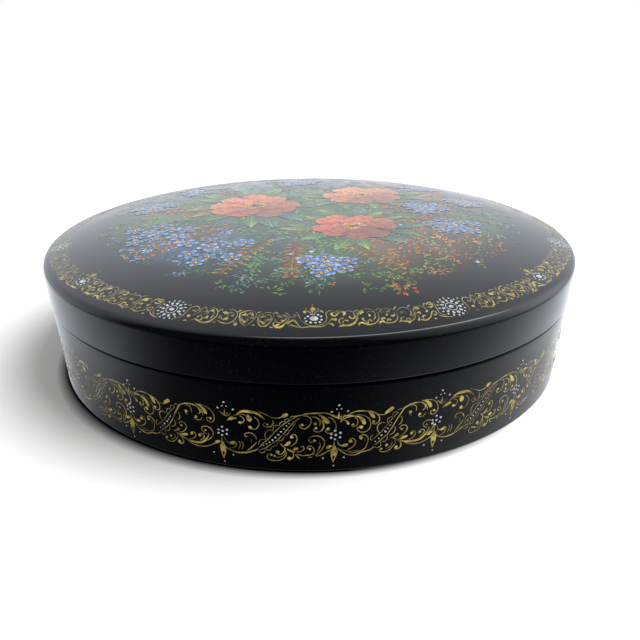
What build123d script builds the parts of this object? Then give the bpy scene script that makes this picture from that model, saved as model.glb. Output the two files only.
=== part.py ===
from build123d import *
import math
import os

# Round papier-mache lacquer box with a lift-off domed lid. Millimetres, +Z up.
# The origin is the centre of the foot, and every piece is turned about Z.

# Driving dimensions
rim_radius = 75.1           # radius where the dome and the lid's wall would meet, before the rim is rounded
base_draft = 3.2            # degrees that the base leans in from the seam down to the foot
lid_draft = 2.3             # degrees that the lid's wall leans in from the rim down to the seam
base_height = 22.0          # foot to seam
lid_wall_height = 10.3      # seam to rim
dome_rise = 6.6             # rim to the top of the dome
dome_power = 4.1            # the dome falls with this power of the radius
wall_thickness = 4.8        # wound wall of the base, measured at the seam
floor_thickness = 3.0       # pressed board of the floor
lid_board_thickness = 3.2   # pressed board of the lid
sleeve_thickness = 2.0      # wound lining of the base
sleeve_rise = 5.5           # the lining stands this far above the seam and guides the lid
lid_overhang = 0.5          # the lid's lower edge stands this far outside the base

# Rounded edges
rim_rounding = 2.2
seam_rounding = 0.45
foot_rounding = 0.5
sleeve_rounding = 0.6

# Clearances
sleeve_fit = 0.3            # radial gap from the lining to the bores of base and lid
glue_line = 0.05            # radial gap from the floor to the base's bore

# Number of points that carry the dome's formula
dome_points = 9

# Sizes that follow from the ones above
base_slope = math.tan(math.radians(base_draft))
lid_slope = math.tan(math.radians(lid_draft))
rim_height = base_height + lid_wall_height
board_height = rim_height - lid_board_thickness
lid_seam_radius = rim_radius - lid_slope * lid_wall_height
lid_board_radius = rim_radius - lid_slope * lid_board_thickness
base_seam_radius = lid_seam_radius - lid_overhang
foot_radius = base_seam_radius - base_slope * base_height
bore_radius = base_seam_radius - wall_thickness
sleeve_radius = bore_radius - sleeve_fit


def turned(profile):
    """Solid turned about Z from a closed outline drawn as radius and height."""
    return revolve(make_face(profile), Axis.Z)


def ring(bottom_radius, top_radius, inner_radius, bottom, top):
    """Tapered ring with a straight bore."""
    outline = Polyline(
        (inner_radius, 0, bottom),
        (bottom_radius, 0, bottom),
        (top_radius, 0, top),
        (inner_radius, 0, top),
        close=True,
    )
    return turned(outline)


def rim_edges(solid, radius, height):
    """Round edges of a turned solid at one radius and height."""
    circles = solid.edges().filter_by(GeomType.CIRCLE)
    return [edge for edge in circles
            if abs(edge.radius - radius) < 0.01 and abs(edge.center(CenterOf.BOUNDING_BOX).Z - height) < 0.01]


def dome_curve(radius, edge_height):
    """Half of the dome's section, height = edge + rise * (1 - (r / radius) ** power)."""
    points = []
    for step in range(dome_points):
        share = step / (dome_points - 1)
        points.append((radius * share, 0, edge_height + dome_rise * (1 - share ** dome_power)))
    end_slope = dome_rise * dome_power / radius
    return Spline(*points, tangents=[(1, 0, 0), (1, 0, -end_slope)])


def make_base_wall():
    """Wound wall of the base, with its foot and seam edges rounded."""
    wall = ring(foot_radius, base_seam_radius, bore_radius, 0, base_height)
    wall = fillet(rim_edges(wall, base_seam_radius, base_height), seam_rounding)
    return fillet(rim_edges(wall, foot_radius, 0), foot_rounding)


def make_base_floor():
    """Pressed disc glued into the foot of the wall, flush with it."""
    return Cylinder(bore_radius - glue_line, floor_thickness, align=(Align.CENTER, Align.CENTER, Align.MIN))


def make_inner_sleeve():
    """Lining that stands on the floor and rises above the seam to guide the lid."""
    top = base_height + sleeve_rise
    inner_radius = sleeve_radius - sleeve_thickness
    sleeve = ring(sleeve_radius, sleeve_radius, inner_radius, floor_thickness, top)
    edges = rim_edges(sleeve, sleeve_radius, top) + rim_edges(sleeve, inner_radius, top)
    return fillet(edges, sleeve_rounding)


def make_lid_wall():
    """Wound wall of the lid, which rests on the base's seam face."""
    wall = ring(lid_seam_radius, lid_board_radius, bore_radius, base_height, board_height)
    edges = rim_edges(wall, lid_seam_radius, base_height) + rim_edges(wall, bore_radius, base_height)
    return fillet(edges, seam_rounding)


def make_lid_top():
    """Domed board glued on the lid's wall, its under side domed to the same formula."""
    outside = dome_curve(rim_radius, rim_height)
    inside = dome_curve(bore_radius, board_height)
    edge = Polyline((rim_radius, 0, rim_height), (lid_board_radius, 0, board_height), (bore_radius, 0, board_height))
    axis = Line((0, 0, board_height + dome_rise), (0, 0, rim_height + dome_rise))
    board = turned([outside, edge, inside, axis])
    return fillet(rim_edges(board, rim_radius, rim_height), rim_rounding)


nodes = {
    "base_wall": make_base_wall(),
    "base_floor": make_base_floor(),
    "inner_sleeve": make_inner_sleeve(),
    "lid_wall": make_lid_wall(),
    "lid_top": make_lid_top(),
}

os.makedirs("parts", exist_ok=True)
for name, shape in nodes.items():
    export_step(shape, f"parts/{name}.step")
    print(name, round(shape.volume / 1000, 2), "cm3")
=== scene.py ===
import math
import bpy
import numpy as np
from mathutils import Matrix, Vector


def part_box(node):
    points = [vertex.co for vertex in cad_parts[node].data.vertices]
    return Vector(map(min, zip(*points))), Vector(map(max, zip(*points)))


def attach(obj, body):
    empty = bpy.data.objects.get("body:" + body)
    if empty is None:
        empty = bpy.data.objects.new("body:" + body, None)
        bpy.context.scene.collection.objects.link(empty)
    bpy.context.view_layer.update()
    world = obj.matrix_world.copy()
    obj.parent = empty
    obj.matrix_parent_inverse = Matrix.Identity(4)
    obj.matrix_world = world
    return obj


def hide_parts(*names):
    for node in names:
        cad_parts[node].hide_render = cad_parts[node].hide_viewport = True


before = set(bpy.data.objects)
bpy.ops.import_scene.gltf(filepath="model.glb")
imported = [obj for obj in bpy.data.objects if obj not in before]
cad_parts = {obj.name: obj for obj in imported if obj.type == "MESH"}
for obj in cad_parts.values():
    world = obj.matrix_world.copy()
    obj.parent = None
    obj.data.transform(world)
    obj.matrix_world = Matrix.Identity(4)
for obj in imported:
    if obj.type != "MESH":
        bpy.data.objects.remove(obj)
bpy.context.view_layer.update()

mm = 0.001
fullTurn = 2 * math.pi
handSeed = 11  # every uneven touch of the hand comes from this one seed
hand = np.random.default_rng(handSeed)
anyTurn = (0, 6.3)  # a turn left to chance


# Small helpers

def linear(hexCode):  # sRGB hex to linear red, green, blue
    srgb = np.array([int(hexCode[i:i + 2], 16) for i in (1, 3, 5)]) / 255
    return np.where(srgb <= 0.04045, srgb / 12.92, ((srgb + 0.055) / 1.055) ** 2.4)


def rgba(hexCode):
    return (*linear(hexCode), 1.0)


def addNode(tree, kind, inputs=None, ramp=(), **settings):  # an input that is a socket is linked
    node = tree.nodes.new(kind)
    for key, value in settings.items():
        setattr(node, key, value)
    for key, value in (inputs or {}).items():
        if isinstance(value, bpy.types.NodeSocket):
            tree.links.new(value, node.inputs[key])
        else:
            node.inputs[key].default_value = value
    while ramp and len(node.color_ramp.elements) < len(ramp):
        node.color_ramp.elements.new(1.0)
    for k, (place, colour) in enumerate(ramp):
        node.color_ramp.elements[k].position = place
        node.color_ramp.elements[k].color = colour
    return node


def mathNode(tree, operation, *values):
    return addNode(tree, "ShaderNodeMath", dict(enumerate(values)), operation=operation).outputs[0]


def dotNode(tree, vector, direction):
    return addNode(tree, "ShaderNodeVectorMath", {0: vector, 1: direction},
                   operation="DOT_PRODUCT").outputs["Value"]


def spanNode(tree, value, start, end, low=0.0, high=1.0):  # start to end becomes low to high
    return addNode(tree, "ShaderNodeMapRange", {"Value": value, "From Min": start, "From Max": end,
                                                "To Min": low, "To Max": high}).outputs[0]


def noiseNode(tree, place, size, detail):
    return addNode(tree, "ShaderNodeTexNoise",
                   {"Vector": place, "Scale": 1 / size, "Detail": detail}).outputs["Fac"]


def blendNode(tree, share, below, above, blend="MIX"):
    return addNode(tree, "ShaderNodeMix", {0: share, 6: below, 7: above},
                   data_type="RGBA", blend_type=blend).outputs[2]


def tintNode(tree):  # the colour kept with the mesh
    return addNode(tree, "ShaderNodeVertexColor", layer_name="paintTint").outputs["Color"]


def newMaterial(name):
    material = bpy.data.materials.new(name)
    material.use_nodes = True
    tree = material.node_tree
    tree.nodes.clear()
    return material, tree, addNode(tree, "ShaderNodeTexCoord").outputs["Object"]


def gridFaces(rows, columns, wrapRows=False, wrapColumns=False):  # quads of a grid, row by row
    i, j = np.meshgrid(np.arange(rows - (not wrapRows)), np.arange(columns - (not wrapColumns)),
                       indexing="ij")
    nextI = (i + 1) % rows
    nextJ = (j + 1) % columns
    corners = [i * columns + j, i * columns + nextJ, nextI * columns + nextJ, nextI * columns + j]
    return np.stack(corners, -1).reshape(-1, 4)


def repeatFaces(faces, count, stride):  # the same faces on count copies of stride points each
    return (faces[None] + stride * np.arange(count)[:, None, None]).reshape(-1, faces.shape[1])


sharpFrom = math.radians(38)  # edges that turn by more stay crisp


def makePiece(name, points, faceSets, body, materials, faceMaterial=None, tint=None, normals=None):
    faces = [face for group in faceSets for face in group.tolist()]
    mesh = bpy.data.meshes.new(name)
    mesh.from_pydata(points.reshape(-1, 3).tolist(), [], faces)
    mesh.shade_smooth()
    for material in materials:
        mesh.materials.append(material)
    if faceMaterial is not None:
        mesh.polygons.foreach_set("material_index", faceMaterial.astype(np.int32))
    if tint is not None:
        layer = mesh.color_attributes.new("paintTint", "FLOAT_COLOR", "POINT")
        colours = np.concatenate([tint.reshape(-1, 3), np.ones((tint.size // 3, 1))], 1)
        layer.data.foreach_set("color", colours.astype(np.float32).ravel())
    mesh.update()
    if normals is None:
        mesh.set_sharp_from_angle(angle=sharpFrom)
    else:
        mesh.normals_split_custom_set_from_vertices(normals.reshape(-1, 3).tolist())
    piece = bpy.data.objects.new(name, mesh)
    bpy.context.scene.collection.objects.link(piece)
    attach(piece, body)
    return piece


# Sizes of the box: what the solids' boxes give, and the few that they don't

boxSizes = {
    "seamHeight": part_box("base_wall")[1].z,
    "boardHeight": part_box("lid_top")[0].z,
    "crownHeight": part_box("lid_top")[1].z,
    "floorTop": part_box("base_floor")[1].z,
    "floorRadius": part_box("base_floor")[1].x,
    "sleeveRadius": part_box("inner_sleeve")[1].x,
    "sleeveTop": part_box("inner_sleeve")[1].z,
    "sleeveThickness": 2.0 * mm,
    "sleeveFit": 0.3 * mm,
    "wallThickness": 4.8 * mm,
    "baseDraft": math.radians(3.2),  # the walls lean out as they rise
    "lidDraft": math.radians(2.3),
    "lidOverhang": 0.5 * mm,
    "domeRise": 6.6 * mm,
    "domePower": 4.1,  # flat in the middle, falling away to the rim
    "domeEdge": 73.54 * mm,  # radius where the dome turns into the rounded rim
    "rimRounding": 2.2 * mm,
}
baseLean = math.tan(boxSizes["baseDraft"])
lidLean = math.tan(boxSizes["lidDraft"])
domeRise = boxSizes["domeRise"]
domePower = boxSizes["domePower"]
domeEdge = boxSizes["domeEdge"]
seam = boxSizes["seamHeight"]
board = boxSizes["boardHeight"]
rim = boxSizes["crownHeight"] - domeRise
boreRadius = boxSizes["sleeveRadius"] + boxSizes["sleeveFit"]
innerRadius = boxSizes["sleeveRadius"] - boxSizes["sleeveThickness"]


def wallRadius(z):  # straight wall of the base, leaning out with height
    return boreRadius + boxSizes["wallThickness"] + baseLean * (z - seam)


def lidWallRadius(z):
    return wallRadius(seam) + boxSizes["lidOverhang"] + lidLean * (z - seam)


def wallNormal(x, y):  # outward normal of the base wall
    away = np.hypot(x, y)
    return np.stack([x / away, y / away, 0 * x - baseLean], -1) * math.cos(boxSizes["baseDraft"])


rimRadius = lidWallRadius(rim)  # where wall and dome would meet, before the rim is rounded


def domeHeight(r):  # height = rim + rise (1 - (r / rim radius) ^ power)
    return rim + domeRise * (1 - (r / rimRadius) ** domePower)


def boardHeight(r):  # the board's underside, hollowed like the dome
    return board + domeRise * (1 - (r / boreRadius) ** domePower)


def domeNormal(x, y):  # upward normal of the dome over the plan point x, y
    r = np.hypot(x, y)
    steep = domeRise * domePower / rimRadius ** domePower * r ** (domePower - 2)
    normal = np.stack([steep * x, steep * y, np.ones_like(x)], -1)
    return normal / np.linalg.norm(normal, axis=-1, keepdims=True)


# The photograph's view

photoView = {
    "place": (0.0, -0.1966, 0.0903),
    "pitchDown": math.radians(23.622),
    "yawRight": math.radians(0.801),
    "roll": math.radians(-0.182),
    "lens": 38.4,
    "sensor": 36.0,
    "pixels": 640,
    "clipStart": 0.005,
}


def aimed(azimuth, elevation):  # azimuth from +X towards the back
    return Vector((math.cos(azimuth) * math.cos(elevation), math.sin(azimuth) * math.cos(elevation),
                   math.sin(elevation)))


def viewTurn():  # the camera looks along its -Z, with Y up
    forward = aimed(math.pi / 2 - photoView["yawRight"], -photoView["pitchDown"])
    return forward.to_track_quat("-Z", "Y").to_matrix() @ Matrix.Rotation(photoView["roll"], 3, "Z")


# Materials

lacquerLook = {  # a noise has its size and its detail
    "black": ("#010105", "#030304"),
    "red": ("#8e1b12", "#6d120d"),
    "clouds": (14.0 * mm, 3.0),  # patches in which the two tones of a lacquer mix
    "refraction": 1.6,
    "reflection": "#06090e",  # seen head on, old lacquer mirrors less than glass does
    "roughness": (0.045, 0.13),
    "lidCoat": 0.5,  # the lid has more clear coats than the walls
    "coatRoughness": 0.05,
    "dust": "#b9b4aa",
    "specks": (0.35 * mm, 2.0),
    "dustShare": (0.66, 0.74),  # noise above the first is dust
    "dustCover": 0.03,
    "dustDulls": 0.25,
    "scratches": (1.6 * mm, 6.0),
    "scratchStretch": (1, 0.06, 0.3),
    "scratchTurn": (0, 0, 0.6),
    "scratchShare": (0.35, 0.75),
    "waves": (9.0 * mm, 1.0),  # slow waves left by hand rubbing
    "waveDepth": 0.05 * mm,
    "waveStrength": 0.06,
}


def lacquerGloss(tree, place):
    # rubbed lacquer: mirror gloss, broken by hair scratches, dust and slow hand waves
    combed = addNode(tree, "ShaderNodeMapping", {"Vector": place, "Scale": lacquerLook["scratchStretch"],
                                                 "Rotation": lacquerLook["scratchTurn"]}).outputs[0]
    scratch = noiseNode(tree, combed, *lacquerLook["scratches"])
    dust = spanNode(tree, noiseNode(tree, place, *lacquerLook["specks"]), *lacquerLook["dustShare"])
    rubbed = spanNode(tree, scratch, *lacquerLook["scratchShare"], *lacquerLook["roughness"])
    roughness = mathNode(tree, "MULTIPLY_ADD", dust, lacquerLook["dustDulls"], rubbed)
    wave = noiseNode(tree, place, *lacquerLook["waves"])
    bump = addNode(tree, "ShaderNodeBump", {"Strength": lacquerLook["waveStrength"],
                                            "Distance": lacquerLook["waveDepth"], "Height": wave})
    return roughness, bump.outputs[0], dust


def lacquered(tree, coat, inputs):  # ground and paint lie under the same lacquer
    shader = addNode(tree, "ShaderNodeBsdfPrincipled",
                     {"IOR": lacquerLook["refraction"], "Specular Tint": rgba(lacquerLook["reflection"]),
                      "Coat Weight": coat, "Coat Roughness": lacquerLook["coatRoughness"], **inputs})
    addNode(tree, "ShaderNodeOutputMaterial", {"Surface": shader.outputs[0]})


def lacquerMaterial(name, tones, painted=False):
    # deep even colour that shows only where the gloss lets it, specked with dust
    material, tree, place = newMaterial(name)
    roughness, normal, dust = lacquerGloss(tree, place)
    cloud = noiseNode(tree, place, *lacquerLook["clouds"])
    ground = blendNode(tree, cloud, *(rgba(tone) for tone in tones))
    if painted:
        ground = blendNode(tree, 1.0, ground, tintNode(tree), "ADD")
    specks = mathNode(tree, "MULTIPLY", dust, lacquerLook["dustCover"])
    dusty = blendNode(tree, specks, ground, rgba(lacquerLook["dust"]))
    lacquered(tree, lacquerLook["lidCoat"] if painted else 0.0,
              {"Base Color": dusty, "Roughness": roughness, "Normal": normal})
    return material


blackLacquer = lacquerMaterial("black_lacquer_rubbed", lacquerLook["black"])
paintedLacquer = lacquerMaterial("black_lacquer_painted", lacquerLook["black"], True)
redLacquer = lacquerMaterial("cinnabar_lacquer", lacquerLook["red"])

goldLook = {
    "thin": (0.30, "#483f27"),  # where the brush ran dry the black shows through
    "body": (0.47, "#938149"),
    "bright": (0.68, "#c0ab66"),
    "metallic": 0.12,
    "roughness": 0.12,
    "patches": (2.2 * mm, 4.0),
    "grain": (0.09 * mm, 2.0),
    "grainDepth": 0.02 * mm,
    "grainStrength": 0.25,
}
whiteLook = {
    "dim": (0.30, "#848891"),
    "bright": (0.60, "#c0c3c8"),
    "roughness": 0.12,
    "patches": (0.7 * mm, 3.0),
}
temperaLook = {
    "streaks": (0.8 * mm, 3.0),
    "streakShare": (0.3, 0.7),
    "shades": (0.72, 1.12),
}


def paintRamp(tree, load, stops):
    ramp = [(place, rgba(code)) for place, code in stops]
    return addNode(tree, "ShaderNodeValToRGB", {"Fac": load}, ramp).outputs[0]


def goldMaterial(name, coat):
    # shell gold: ground leaf in gum under clear lacquer; warm, grainy, lost in the gloss at the sides
    material, tree, place = newMaterial(name)
    colours = paintRamp(tree, noiseNode(tree, place, *goldLook["patches"]),
                        [goldLook["thin"], goldLook["body"], goldLook["bright"]])
    laid = blendNode(tree, 1.0, colours, tintNode(tree), "MULTIPLY")
    grain = noiseNode(tree, place, *goldLook["grain"])
    bump = addNode(tree, "ShaderNodeBump", {"Strength": goldLook["grainStrength"],
                                            "Distance": goldLook["grainDepth"], "Height": grain})
    lacquered(tree, coat, {"Base Color": laid, "Metallic": goldLook["metallic"],
                           "Roughness": goldLook["roughness"], "Normal": bump.outputs[0]})
    return material


def whiteMaterial(name, coat):
    # lead white in dots under the same lacquer: cool, slightly uneven
    material, tree, place = newMaterial(name)
    colours = paintRamp(tree, noiseNode(tree, place, *whiteLook["patches"]),
                        [whiteLook["dim"], whiteLook["bright"]])
    lacquered(tree, coat, {"Base Color": colours, "Roughness": whiteLook["roughness"]})
    return material


def temperaMaterial(name):
    # egg tempera sealed under clear lacquer: soft brush colour, the gloss of the lid
    material, tree, place = newMaterial(name)
    roughness, normal, dust = lacquerGloss(tree, place)
    shade = spanNode(tree, noiseNode(tree, place, *temperaLook["streaks"]),
                     *temperaLook["streakShare"], *temperaLook["shades"])
    tone = blendNode(tree, 1.0, tintNode(tree), shade, "MULTIPLY")
    lacquered(tree, lacquerLook["lidCoat"], {"Base Color": tone, "Roughness": roughness, "Normal": normal})
    return material


wallGold = goldMaterial("shell_gold_on_wall", 0.0)
lidGoldPaint = goldMaterial("shell_gold_on_lid", lacquerLook["lidCoat"])
wallWhite = whiteMaterial("white_dots_on_wall", 0.0)
lidWhitePaint = whiteMaterial("white_dots_on_lid", lacquerLook["lidCoat"])
tempera = temperaMaterial("tempera_under_lacquer")
print("materials made")


# The five turned pieces of the box

turning = {
    "around": 360,
    "arcSteps": 6,
    "footRounding": 0.5 * mm,
    "seamRounding": 0.6 * mm,
    "lidRounding": 0.6 * mm,
    "seamGap": 0.1 * mm,  # the lid sits a hair proud of the base
    "seamOpen": 0.35 * mm,  # and a little more on one side
    "openSide": math.radians(-32),
    "openRise": 3.0 * mm,  # above the seam, where the opening is lost
    "sleeveRounding": 0.6 * mm,
    "floorRing": 0.6,
    "underRings": 24,
    "rimSteps": 14,
    "rimBlack": 1.5 * mm,  # the lid's clear coats end this far below the dome's edge
    "redPast": 0.1 * mm,  # how near the bore and the board's underside the red lacquer lies
    "redUnder": 1.0 * mm,
    "domeRings": 96,
}


def roundedProfile(corners):
    # a loop of (r, z, rounding) corners; a rounded corner becomes the arc tangent to both its sides
    pieces = []
    count = len(corners)
    for k in range(count):
        corner = np.array(corners[k][:2])
        rounding = corners[k][2]
        if rounding == 0:
            pieces.append(corner[None])
            continue
        back = np.array(corners[k - 1][:2]) - corner
        ahead = np.array(corners[(k + 1) % count][:2]) - corner
        back /= np.linalg.norm(back)
        ahead /= np.linalg.norm(ahead)
        half = math.acos(np.clip(back @ ahead, -1, 1)) / 2
        middle = (back + ahead) / np.linalg.norm(back + ahead)
        centre = corner + middle * rounding / math.sin(half)
        start = corner + back * rounding / math.tan(half) - centre
        end = corner + ahead * rounding / math.tan(half) - centre
        turn = math.pi - 2 * half
        t = np.linspace(0, 1, turning["arcSteps"] + 1)[:, None]
        pieces.append(centre + (np.sin((1 - t) * turn) * start + np.sin(t * turn) * end) / math.sin(turn))
    return np.vstack(pieces)


def turned(name, profile, node, body, materials, whichMaterial,
           tintFor=None, poles=False, settle=None):
    # a profile turned about Z: x = r cos a, y = r sin a; with poles, both ends close on the axis
    around = turning["around"]
    angle = np.arange(around) * fullTurn / around
    rows = profile[1:-1] if poles else profile
    r, z = rows[:, :1], rows[:, 1:]
    points = np.stack([r * np.cos(angle), r * np.sin(angle), z + 0 * angle], -1).reshape(-1, 3)
    faceSets = [gridFaces(len(rows), around, not poles, True)]
    middle = (rows + np.roll(rows, -1, 0)) / 2
    ringMaterial = np.array([whichMaterial(*m) for m in (middle[:-1] if poles else middle)])
    faceMaterial = np.repeat(ringMaterial, around)
    if poles:
        points = np.vstack([points, [[0, 0, profile[0, 1]], [0, 0, profile[-1, 1]]]])
        j = np.arange(around)
        nextJ = (j + 1) % around
        lastRow = (len(rows) - 1) * around
        bottom = np.stack([np.full(around, len(points) - 2), nextJ, j], -1)
        top = np.stack([np.full(around, len(points) - 1), lastRow + j, lastRow + nextJ], -1)
        faceSets += [bottom, top]
        ends = [whichMaterial(*profile[0]), whichMaterial(*profile[-1])]
        faceMaterial = np.concatenate([faceMaterial, np.repeat(ends, around)])
    tint = tintFor(points) if tintFor else None
    if settle:
        points[:, 2] += settle(points)
    piece = makePiece(name, points, faceSets, body, materials, faceMaterial, tint)
    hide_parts(node)


def seamOpening(points):  # rise of the lid's lower edge: half a cosine round the box, gone a little way up
    side = (1 + np.cos(np.arctan2(points[:, 1], points[:, 0]) - turning["openSide"])) / 2
    return turning["seamOpen"] * side * np.clip(1 - (points[:, 2] - seam) / turning["openRise"], 0, 1)


floorTop, floorRadius = boxSizes["floorTop"], boxSizes["floorRadius"]
sleeveTop, sleeveRadius = boxSizes["sleeveTop"], boxSizes["sleeveRadius"]
lidBottom = seam + turning["seamGap"]

turned("baseWall",
       roundedProfile([(wallRadius(0), 0, turning["footRounding"]),
                       (wallRadius(seam), seam, turning["seamRounding"]),
                       (boreRadius, seam, 0), (boreRadius, 0, 0)]),
       "base_wall", "base", [blackLacquer], lambda r, z: 0)

turned("baseFloor",
       np.array([(0, 0), (floorRadius, 0), (floorRadius, floorTop),
                 (floorRadius * turning["floorRing"], floorTop), (0, floorTop)]),
       "base_floor", "base", [redLacquer, blackLacquer],
       lambda r, z: int(z < floorTop / 2), poles=True)

turned("innerSleeve",
       roundedProfile([(sleeveRadius, floorTop, 0), (sleeveRadius, sleeveTop, turning["sleeveRounding"]),
                       (innerRadius, sleeveTop, turning["sleeveRounding"]), (innerRadius, floorTop, 0)]),
       "inner_sleeve", "base", [redLacquer, blackLacquer],
       lambda r, z: int(r > sleeveRadius - 0.5 * boxSizes["sleeveThickness"]))

turned("lidWall",
       roundedProfile([(lidWallRadius(seam), lidBottom, turning["lidRounding"]),
                       (lidWallRadius(board), board, 0), (boreRadius, board, 0),
                       (boreRadius, lidBottom, turning["seamRounding"])]),
       "lid_wall", "lid", [blackLacquer, redLacquer],
       lambda r, z: int(r < boreRadius + turning["redPast"]), settle=seamOpening)
print("walls turned")

# Soft colour brushed on the black under the bouquet

haze = {
    "reach": 60.0 * mm,
    "clouds": [  # place x, y and spread (mm), colour, strength
        (-28, 34, 22, "#4f6c66", 0.80), (6, 50, 24, "#66727e", 0.75), (38, 28, 20, "#6a4f26", 0.80),
        (46, -6, 16, "#3c5c4a", 0.80), (-44, 2, 18, "#34522e", 0.85), (0, 6, 24, "#37501f", 0.85),
        (26, -30, 18, "#553818", 0.85), (-30, -26, 18, "#25405c", 0.80), (16, 36, 15, "#6e3820", 0.75),
        (2, -38, 16, "#2c4a24", 0.75), (-6, 24, 18, "#4a5a3a", 0.60),
    ],
    "ripples": 7,
    "rippleRate": 0.42 / mm,
    "rippled": (0.9, 0.03),  # how far the ripples break the clouds and the outer edge
    "fade": 7.0 * mm,
    "skin": 0.3 * mm,  # only the top of the dome takes the colour
}


def hazeTint(points):  # sum of soft clouds, edges broken by a few crossing waves, fading at the reach
    x, y = points[:, 0], points[:, 1]
    r = np.hypot(x, y)
    waves = hand.uniform(-1, 1, (haze["ripples"], 2)) * haze["rippleRate"]
    phases = hand.uniform(*anyTurn, haze["ripples"])
    rough = np.sin(x[:, None] * waves[:, 0] + y[:, None] * waves[:, 1] + phases).mean(1)
    inside, outside = haze["rippled"]
    total = np.zeros((len(x), 3))
    for cx, cy, spread, colour, strength in haze["clouds"]:
        away = np.hypot(x - cx * mm, y - cy * mm) / (spread * mm)
        weight = strength * np.exp(-away ** 2) * (1 + inside * rough)
        total += np.clip(weight, 0, 1)[:, None] * linear(colour)
    edge = np.clip((haze["reach"] * (1 + outside * rough) - r) / haze["fade"], 0, 1) ** 2
    onTop = points[:, 2] > domeHeight(r) - haze["skin"]
    return total * (edge * onTop)[:, None]


def lidTopProfile():
    # underside first, from the axis out, up the wall, round the rim and back over the dome;
    # the rim is the arc of the given rounding that leaves the dome at its edge and ends along the wall
    under = boreRadius * np.sin(np.linspace(0, math.pi / 2, turning["underRings"]))  # closing up outwards
    underside = np.stack([under, boardHeight(under)], -1)
    rounding = boxSizes["rimRounding"]
    normal = domeNormal(np.array([domeEdge]), np.array([0.0]))[0]
    middle = np.array([domeEdge, domeHeight(domeEdge)]) - rounding * normal[[0, 2]]
    turn = np.linspace(math.pi / 2 + boxSizes["lidDraft"], math.atan2(normal[0], normal[2]),
                       turning["rimSteps"])
    arc = middle + rounding * np.stack([np.sin(turn), np.cos(turn)], -1)
    over = np.linspace(domeEdge, 0, turning["domeRings"])[1:]
    crown = np.stack([over, domeHeight(over)], -1)
    return np.vstack([underside, [[lidWallRadius(board), board]], arc, crown])


def lidTopSide(r, z):  # painted on top, red underneath, plain black round the rim
    if r < boreRadius and z < boardHeight(r) + turning["redUnder"]:
        return 1
    return 2 if r > domeEdge and z < domeHeight(domeEdge) - turning["rimBlack"] else 0


turned("lidTop", lidTopProfile(),
       "lid_top", "lid", [paintedLacquer, redLacquer, blackLacquer],
       lidTopSide, hazeTint, poles=True)
print("lid turned")


# Brush strokes for the gold bands: widths along the stroke, then its points u, v in millimetres.
# On the base u runs along the wall and v is the height above the foot; on the lid v is the radius.

brush = {
    "curvePoints": 9,  # on each span of a stroke
    "evenWidth": 0.4,  # a stroke drawn this wide keeps its width
    "spread": 0.3,  # fuller ones spread, finer ones stay thin
    "startWidth": 0.35,  # share of the width left at the tips
    "endWidth": 0.45,
    "sink": 0.012,  # how far the edges lie in the lacquer
    "strokeFilm": 0.014,  # thickness of the paint along the middle
    "dotFilm": 0.03,
    "pile": 0.16,  # and what each millimetre of half width adds
    "dotShoulder": (0.72, 0.55),  # reach and height of a dot's inner ring
    "dotSides": 10,
    "fineHalf": 0.1,  # half width of a fine line, and what makes it a full one
    "fullMore": 0.18,
    "waves": (0.45, 0.4),  # slow waves of the hand along v and u
    "wavesApart": 2.1,
    "unitPhase": 9.7,
}


def curveThrough(flatPoints, count):  # Catmull-Rom curve through the points, at even steps of its length
    p = np.array(flatPoints, float).reshape(-1, 2)
    q = np.vstack([2 * p[0] - p[1], p, 2 * p[-1] - p[-2]])
    a, b, c, d = (q[k:len(q) - 3 + k, None] for k in range(4))
    t = np.linspace(0, 1, brush["curvePoints"])[None, :-1, None]
    squared = (2 * a - 5 * b + 4 * c - d) * t ** 2
    cubed = (3 * b - a - 3 * c + d) * t ** 3
    fine = 0.5 * (2 * b + (c - a) * t + squared + cubed)
    fine = np.vstack([fine.reshape(-1, 2), p[-1:]])
    run = np.concatenate([[0], np.cumsum(np.hypot(*np.diff(fine, axis=0).T))])
    step = np.linspace(0, run[-1], count)
    return np.stack([np.interp(step, run, fine[:, 0]), np.interp(step, run, fine[:, 1])], -1)


def onWall(u, v, lift, axis):  # millimetres along and up the base wall to metres in the frame
    angle = axis + u * mm / baseBand["meanRadius"]
    climb = baseBand["climb"] * np.sin(2 * (angle - baseBand["climbFrom"]))
    z = baseBand["squeeze"] * v * mm + climb
    r = wallRadius(z) + lift * mm
    return np.stack([r * np.cos(angle), r * np.sin(angle), z + 0 * r], -1)


def onLid(u, v, lift, axis):  # millimetres along the rim and out from the middle, laid on the dome
    angle = axis + u * mm / lidBand["meanRadius"]
    r = v * mm - lidBand["inset"] + lidBand["oval"] * np.cos(2 * angle)  # the ring is drawn a little oval
    return np.stack([r * np.cos(angle), r * np.sin(angle), domeHeight(r) + lift * mm], -1)


def unsteady(u, v, axis, amount):  # slow waves that make each repeat a little different
    phase = brush["unitPhase"] * axis
    rateV, rateU = brush["waves"]
    return (u + amount * np.sin(rateV * v + phase),
            v + amount * np.sin(rateU * u + brush["wavesApart"] * phase))


def sideOut(sets, flip):  # on the lid v runs outwards, which turns the faces over
    return [faces[:, ::-1] for faces in sets] if flip else sets


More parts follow.
